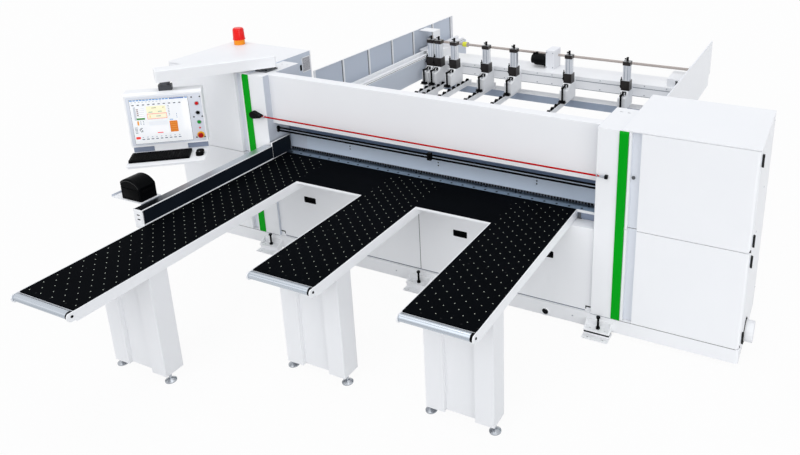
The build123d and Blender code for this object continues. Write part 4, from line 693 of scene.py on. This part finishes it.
# Lock in the right upper door's groove, gasket behind the dust outlet
lock = turned([(13, 0), (13, 9), (11.5, 11), (6, 11), (5, 8)], 24)
piece("door_lock", aimed(lock, "-y", 1799, -403.2, 1335), DARK_METAL, "right_upper_door")
gasket = collar([(82.4, 0), (97.5, 0), (97.5, 3), (95, 5), (82.4, 5)], 48)
piece("outlet_gasket", aimed(gasket, "+x", CABINET_OUT + 3.8, OUTLET_Y, OUTLET_Z), RUBBER)

# Base: bolt heads along the front
base_heads = grid([-1380, -1150, -700, -250, 250, 700, 1150, 1380], [FRONT + SINK], [82])
piece("base_bolts", repeated(aimed(screw(7, 4), "-y"), base_heads), STEEL)

# Base: grey sealing line under the columns, a grey line of painted shade at the foot of the front panels,
# rubber one under the doors
line_depth = FRONT - 0.6, FRONT + 1
joints = [slab(span(side, COLUMN_IN + 2, COLUMN_OUT - 2), line_depth, (BASE_TOP - 2.5, BASE_TOP + 1),
               corner=0.6, edge=0.4) for side in SIDES]
piece("base_joints", joints, SEAL)
sills = [slab(span(side, COLUMN_OUT + 6, CABINET_OUT - 25), line_depth, (BASE_TOP - 1.8, BASE_TOP + 1),
              corner=0.6, edge=0.4) for side in SIDES]
piece("door_sills", sills, LIP)
panel_foot = slab((-1474, 1474), (BED_FACE - 1.4, BED_FACE + SINK), (BASE_TOP, BASE_TOP + 7), corner=0.6,
                  edge=0.4)
piece("panel_foot_painted_shade", panel_foot, SEAL)

# Base: open end of a cable pipe near the lower edge
PIPE = 1150, FRONT + SINK, 60
pipe = collar([(27, 0), (36, 0), (36, 8), (34, 11), (29, 11), (27, 8)], 40)
piece("pipe_end", aimed(pipe, "-y", *PIPE), WHITE)
# Its bore: painted shade, near black
bore = turned([(27, 0), (27, 3), (24, 4), (1, 1.5)], 40)
piece("pipe_bore", aimed(bore, "-y", *PIPE), VOID)

# Anchors: white spacer on each floor plate, a rubber pad on the right ones, painted shade on the floor of the
# plates' holes
PLATE_TOP, PAD_LOW, FLANGE_LOW = 9.8, 25, 40.2
anchors = [(x, side) for x in (-1604, 0, 1604) for side in SIDES]
pads = [slab((x - 102, x + 102), span(side, 452, 519), (PAD_LOW, FLANGE_LOW), corner=3, edge=1.5)
        for x, side in anchors if x > 0]
piece("anchor_pads", pads, RUBBER)
spacers = [slab((x - 100, x + 100), span(side, 452, 515),
                (PLATE_TOP, PAD_LOW + SINK if x > 0 else FLANGE_LOW), corner=3, edge=1)
           for x, side in anchors]
piece("anchor_spacers", spacers, WHITE)
hole_floor = turned([(6.8, 0.3), (6.8, 2), (6, 2.4), (1, 2.4)], 16)
holes = [(x + shift, side * 550, 0) for x, side in anchors for shift in (-60, 60)]
piece("anchor_hole_floors", repeated(hole_floor, holes), VOID)


# Printer: beads round the arched ends of the lid, raised side plates, and the label slot with its button
def arch(inset, steps=24):
    """Arched outline of the lid drawn in by inset: the circle through its two shoulders and its crown, from
    the right shoulder to the left one, centred where the bisectors meet."""
    crown = LID_LEFT + 0.4 * (LID_RIGHT - LID_LEFT), LID_TOP
    marks = np.array([(LID_RIGHT, LID_LOW + 17), crown, (LID_LEFT, LID_LOW + 37)])
    chords = marks[1:] - marks[0]
    centre = marks[0] + np.linalg.solve(2 * chords, (chords ** 2).sum(1))
    radius = np.hypot(*(marks[0] - centre)) - inset
    reach = LID_RIGHT - inset - centre[0], LID_LEFT + inset - centre[0]
    a = np.linspace(math.acos(reach[0] / radius), math.acos(reach[1] / radius), steps)
    return centre + radius * np.column_stack([np.cos(a), np.sin(a)])


def arched_plate(inset, low, y):
    """Flat plate with the arched outline, from the height low, carried along Y between the two ends."""
    top = arch(inset)
    outline = np.concatenate([top, [(top[-1, 0], low), (top[0, 0], low)]])
    return aimed(prism(outline[::-1] * (1, -1), *y), "+y")


bead = rounded(2.2, 2.2, 2.1, 3)
curve = arch(14)
curve = np.concatenate([[(curve[0, 0], LID_LOW + 4)], curve, [(curve[-1, 0], LID_LOW + 4)]])
beads, lid_plates, trim = [], [], []
for y, out in ((PRINTER_FRONT, -1), (PRINTER_BACK, 1)):
    path = np.column_stack([curve[:, 0], np.full(len(curve), y - 0.6 * out), curve[:, 1]])
    beads.append(swept(bead, path, up=(0, 1, 0)))
    plate_depth = sorted((y - out, y + 1.6 * out))
    lid_plates.append(arched_plate(19, LID_LOW + 3, plate_depth))
    trim.append(slab((LID_LEFT + 15, LID_RIGHT - 15), plate_depth, (SHELF_TOP + 10, LID_LOW - 2), 4, 1))
piece("lid_beads", beads, GLOSS_EDGE, "printer_lid")
piece("lid_side_plates", lid_plates, BLACK_PLASTIC, "printer_lid")
feed_button = turned([(7, 0), (7, 3), (5.5, 4.5)], 20)
trim.append(slab((LID_RIGHT - 1, LID_RIGHT + 2), (-1745, -1631), (1134, 1149), edge=1))
trim.append(aimed(feed_button, "+x", LID_RIGHT - 0.5, -1660, 1112))
piece("printer_trim", trim, BLACK_PLASTIC)

# Shelf: turned-up rim along its outer edge, in grey: painted shade on its inner face
rim = slab((-1881.4, -1878.4), (-1777.5, -1598.5), (SHELF_TOP - SINK, 1079), edge=0.8)
piece("shelf_rim", rim, GREY)

# Fence: white end cap with two slots, light edges along the face and on the stop plate
cap = slab((-1571, -1482), (FENCE_FRONT - 7, FENCE_FRONT + SINK), (903, 1058), corner=6, edge=2)
piece("fence_end_cap", cap, WHITE)
# The slots: painted shade, near black
cap_slots = [slab((-1541, -1513), (FENCE_FRONT - 7.6, FENCE_FRONT - 6.6), (z, z + 9), corner=0.4, edge=0.3)
             for z in (1008, 972)]
piece("fence_cap_slots", cap_slots, VOID)
fence_edges = [slab((-1500, -1483), (-455.5, -452.8), (937, 1085), edge=0.8),
               slab((-1500, -1483), (-453, -218), (1082.8, 1085.4), edge=0.8),
               slab((-1484.2, -1482.6), (-1838, -455), (936.2, 941), corner=0.6, edge=0.4),
               slab((-1490, -1482.4), (-1842, -456), (1050.5, 1056.6), corner=0.8)]
piece("fence_edges", fence_edges, WHITE)

# Stop rope: its red sheath between the eyelets
sheath = turned([(5.2, -1533), (6.4, -1532), (6.8, -1530), (6.8, 1530), (6.4, 1532), (5.2, 1533)], 16)
piece("rope_sheath", aimed(sheath, "+x", 0, ROPE_Y, ROPE_Z), ROPE)

# Arm pivot: bolts in the foot plate
pivot_heads = grid([-1688, -1592], [-311, -195], [1701.8])
piece("pivot_bolts", repeated(screw(9, 8, 16), pivot_heads), DARK_STEEL)

# Grippers: valve beside each block, fitting on the cap, profile grooves, lever pivot, cap screws
on_grippers = grid(GRIPPERS)
valve = joined(slab((-60, -46), (2226, 2258), (1140, 1236), corner=4, edge=3),
               moved(turned([(6, 0), (6, 10), (5, 12), (5, 24), (4, 26)], 14), -53, 2243, 1235),
               aimed(turned([(6, 0), (6, 8), (5, 9), (5, 26)], 14), "-y", -53, 2227, 1170))
piece("gripper_valves", repeated(valve, on_grippers), BLACK_PLASTIC, "pusher")
elbow = joined(aimed(turned([(9, 0), (9, 12), (7, 14), (7, 30), (5, 32)], 14), "-x", 0, CYLINDER_Y, 1458),
               moved(turned([(13, 0), (13, 6), (9, 8)], 14), 0, CYLINDER_Y, 1471))
piece("cap_fittings", repeated(elbow, on_grippers), BLACK_PLASTIC, "pusher")
groove_height = 1230, 1392
grooves = [slab((x - 3, x + 3), (2227.2, 2228.4), groove_height, corner=0.6, edge=0.5) for x in (-17, 17)]
grooves += [slab((37.6, 38.8), (y - 3, y + 3), groove_height, corner=0.6, edge=0.5)
            for y in (CYLINDER_Y - 17, CYLINDER_Y + 17)]
piece("profile_grooves", repeated(joined(*grooves), on_grippers), GROOVE, "pusher")
boss = turned([(15, 0), (15, 5), (12, 7), (5, 7)], 20)
hub = joined(aimed(boss, "+x", 21, 2150, 1106), aimed(boss, "-x", -21, 2150, 1106),
             slab((-22, 22), (2165, 2194), (1080, 1119), corner=4, edge=3))
piece("lever_pivots", repeated(hub, on_grippers), BLACK_METAL, "pusher")
cap_heads = grid([-31, 31], [CYLINDER_Y - 31, CYLINDER_Y + 31], [1434.8])
piece("cap_screws", repeated(repeated(screw(6, 5), cap_heads), on_grippers), STEEL, "pusher")

# Rear walls: dark joint beside each rib; rails: dark rubber lip inside the guide
RIB_PITCH, WALL_END = 467, 3300
wall_joints, rail_lips = [], []
for side in SIDES:
    wall_joints += [slab(span(side, 1689.4, 1687.6), (y - 10, y - 1), (1112, 1488), corner=0.6, edge=0.5)
                    for y in np.arange(BACK + 3 + RIB_PITCH, WALL_END, RIB_PITCH)]
    rail_lips.append(slab(span(side, 1500, 1509), (60, WALL_END - 4), (1194.8, 1196.4), corner=0.6, edge=0.5))
piece("wall_joints", wall_joints, LIP)
piece("rail_lips", rail_lips, LIP)

# Pusher: seams and screws along the beam, motor fins, connectors and gearbox bolts, lime coupling
seams = boxes([(-1478, 2375.6, 1114), (-1478, 2375.6, 1019)], [(1478, 2377.4, 1119), (1478, 2377.4, 1024)])
piece("beam_seams", seams, SEAL, "pusher")
beam_heads = grid([-1200, -890, -505, -90, 90, 660, 1160, 1400], [PUSHER_FACE + SINK], [1040, 1144])
piece("beam_screws", repeated(aimed(screw(7, 3), "-y"), beam_heads), STEEL, "pusher")
fin = aimed(turned([(58, -2.5), (67, -2.5), (67.5, 0), (67, 2.5), (58, 2.5)], 32), "+x")
fins = repeated(fin, grid(np.arange(-190, -80, 13), [MOTOR_Y], [MOTOR_Z]))
piece("motor_fins", fins, BLACK_METAL, "pusher")
plugs = [slab((-232, -204), (2578, 2616), (1290, 1322), corner=5, edge=3),
         slab((-196, -172), (2582, 2612), (1306, 1334), corner=5, edge=3)]
piece("motor_connectors", plugs, BLACK_PLASTIC, "pusher")
box_heads = grid([-38, 38], [2527.2], [1182, 1354])
piece("gearbox_bolts", repeated(aimed(screw(7, 4), "-y"), box_heads), STEEL, "pusher")
sleeve = turned([(24, -26), (30.6, -26), (31.4, -20), (31.4, 20), (30.6, 26), (24, 26)], 32)
piece("coupling_sleeve", aimed(sleeve, "+x", -1170, SHAFT_Y, SHAFT_Z), LIME, "cross_shaft")

# Beacon: fluted lens sleeve and ridges round the base
LENS_SIDES, FLUTES, FLUTE_DEPTH = 96, 24, 0.8
lens_r, lens_h = np.array([(50, 1751), (60, 1751), (60, 1759), (56, 1761), (52.6, 1850), (49.5, 1862),
                           (41, 1868.5), (20, 1869)]).T
ripple = np.where((lens_h > 1760) & (lens_h < 1855), FLUTE_DEPTH, 0.0)
wave = np.cos(FLUTES * np.arange(LENS_SIDES) * 2 * np.pi / LENS_SIDES)
lens = tube(rings_about_z(lens_r[:, None] + ripple[:, None] * wave, lens_h, LENS_SIDES))
piece("beacon_lens", moved(lens, BEACON_X, BEACON_Y), BEACON)
ridge = turned([(50, -2), (53.4, -2), (54, 0), (53.4, 2), (50, 2)], 40)
ridges = repeated(ridge, grid([BEACON_X], [BEACON_Y], [1708, 1720, 1732]))
piece("beacon_ridges", ridges, BEACON)


# Floor, light and camera
def seen_rays(tree):
    """1 for rays that show the floor or the surroundings to the eye, straight, mirrored or through glass."""
    rays = node(tree, "ShaderNodeLightPath")
    mask = rays.outputs["Is Camera Ray"]
    for kind in ("Is Glossy Ray", "Is Transmission Ray"):
        both = {0: mask, 1: rays.outputs[kind]}
        mask = node(tree, "ShaderNodeMath", both, operation="MAXIMUM").outputs[0]
    return mask


def stage_floor(half=60.0, share=0.95):
    """Wide pale floor in metres; seen rays find it nearly white, with the object's shadow kept."""
    mesh = bpy.data.meshes.new("floor")
    corners = [(-half, -half, 0), (half, -half, 0), (half, half, 0), (-half, half, 0)]
    mesh.from_pydata(corners, [], [(0, 1, 2, 3)])
    material, tree, shader, _ = blank("pale_studio_floor")
    shader.inputs["Base Color"].default_value = linear("D6D6D6")
    shader.inputs["Roughness"].default_value = 0.9
    part = node(tree, "ShaderNodeMath", {0: seen_rays(tree), 1: share}, operation="MULTIPLY")
    glow = node(tree, "ShaderNodeEmission", Strength=1.0)
    blend = node(tree, "ShaderNodeMixShader", {0: part.outputs[0], 1: shader.outputs[0], 2: glow.outputs[0]})
    tree.links.new(blend.outputs[0], tree.nodes["Material Output"].inputs["Surface"])
    mesh.materials.append(material)
    floor = bpy.data.objects.new("floor", mesh)
    bpy.context.collection.objects.link(floor)


def studio_world(level):
    """Even, slightly cool surroundings at a plain level for light, plain white where seen rays meet them."""
    world = bpy.data.worlds.new("studio")
    world.use_nodes = True
    tree = world.node_tree
    tree.nodes.clear()
    fill = node(tree, "ShaderNodeBackground", Strength=level, Color=linear("F5F8FF"))
    white = node(tree, "ShaderNodeBackground", Strength=1.0, Color=linear("FFFFFF"))
    blend = node(tree, "ShaderNodeMixShader", {0: seen_rays(tree), 1: fill.outputs[0], 2: white.outputs[0]})
    output = node(tree, "ShaderNodeOutputWorld")
    tree.links.new(blend.outputs[0], output.inputs["Surface"])
    bpy.context.scene.world = world


def bank(name, towards, spread, level):
    """Far bank of lamps: parallel light from a direction, its shadows softened over spread degrees."""
    data = bpy.data.lights.new(name, "SUN")
    data.angle, data.energy = math.radians(spread), level
    lamps = bpy.data.objects.new(name, data)
    x, y, z = towards
    lamps.rotation_euler = math.atan2(math.hypot(x, y), z), 0, math.atan2(x, -y)
    bpy.context.collection.objects.link(lamps)


def photo_camera(place, azimuth, elevation, focal, shift, wide=800, sensor=36):
    """Camera at a place in mm, turned by azimuth and down by elevation; focal length in pixels."""
    data = bpy.data.cameras.new("photo_camera")
    data.sensor_width = sensor
    data.lens = focal / wide * sensor
    data.shift_x, data.shift_y = shift
    data.clip_end = 200
    camera = bpy.data.objects.new("photo_camera", data)
    camera.location = np.multiply(place, MM)
    camera.rotation_euler = math.radians(90 - elevation), 0, math.radians(azimuth)
    bpy.context.collection.objects.link(camera)
    bpy.context.scene.camera = camera


stage_floor()
studio_world(level=0.58)
bank("front_bank", towards=(0.02, -0.76, 0.64), spread=70, level=1.17)
bank("side_bank", towards=(0.9, -0.42, 0.08), spread=40, level=0.95)
bank("top_bank", towards=(-0.1, 0.1, 0.99), spread=40, level=0.62)
photo_camera((3018.1, -5245.6, 3559.6), azimuth=24.2, elevation=19.0, focal=749, shift=(-0.14, -0.15))
bpy.context.scene.view_settings.view_transform = "Standard"
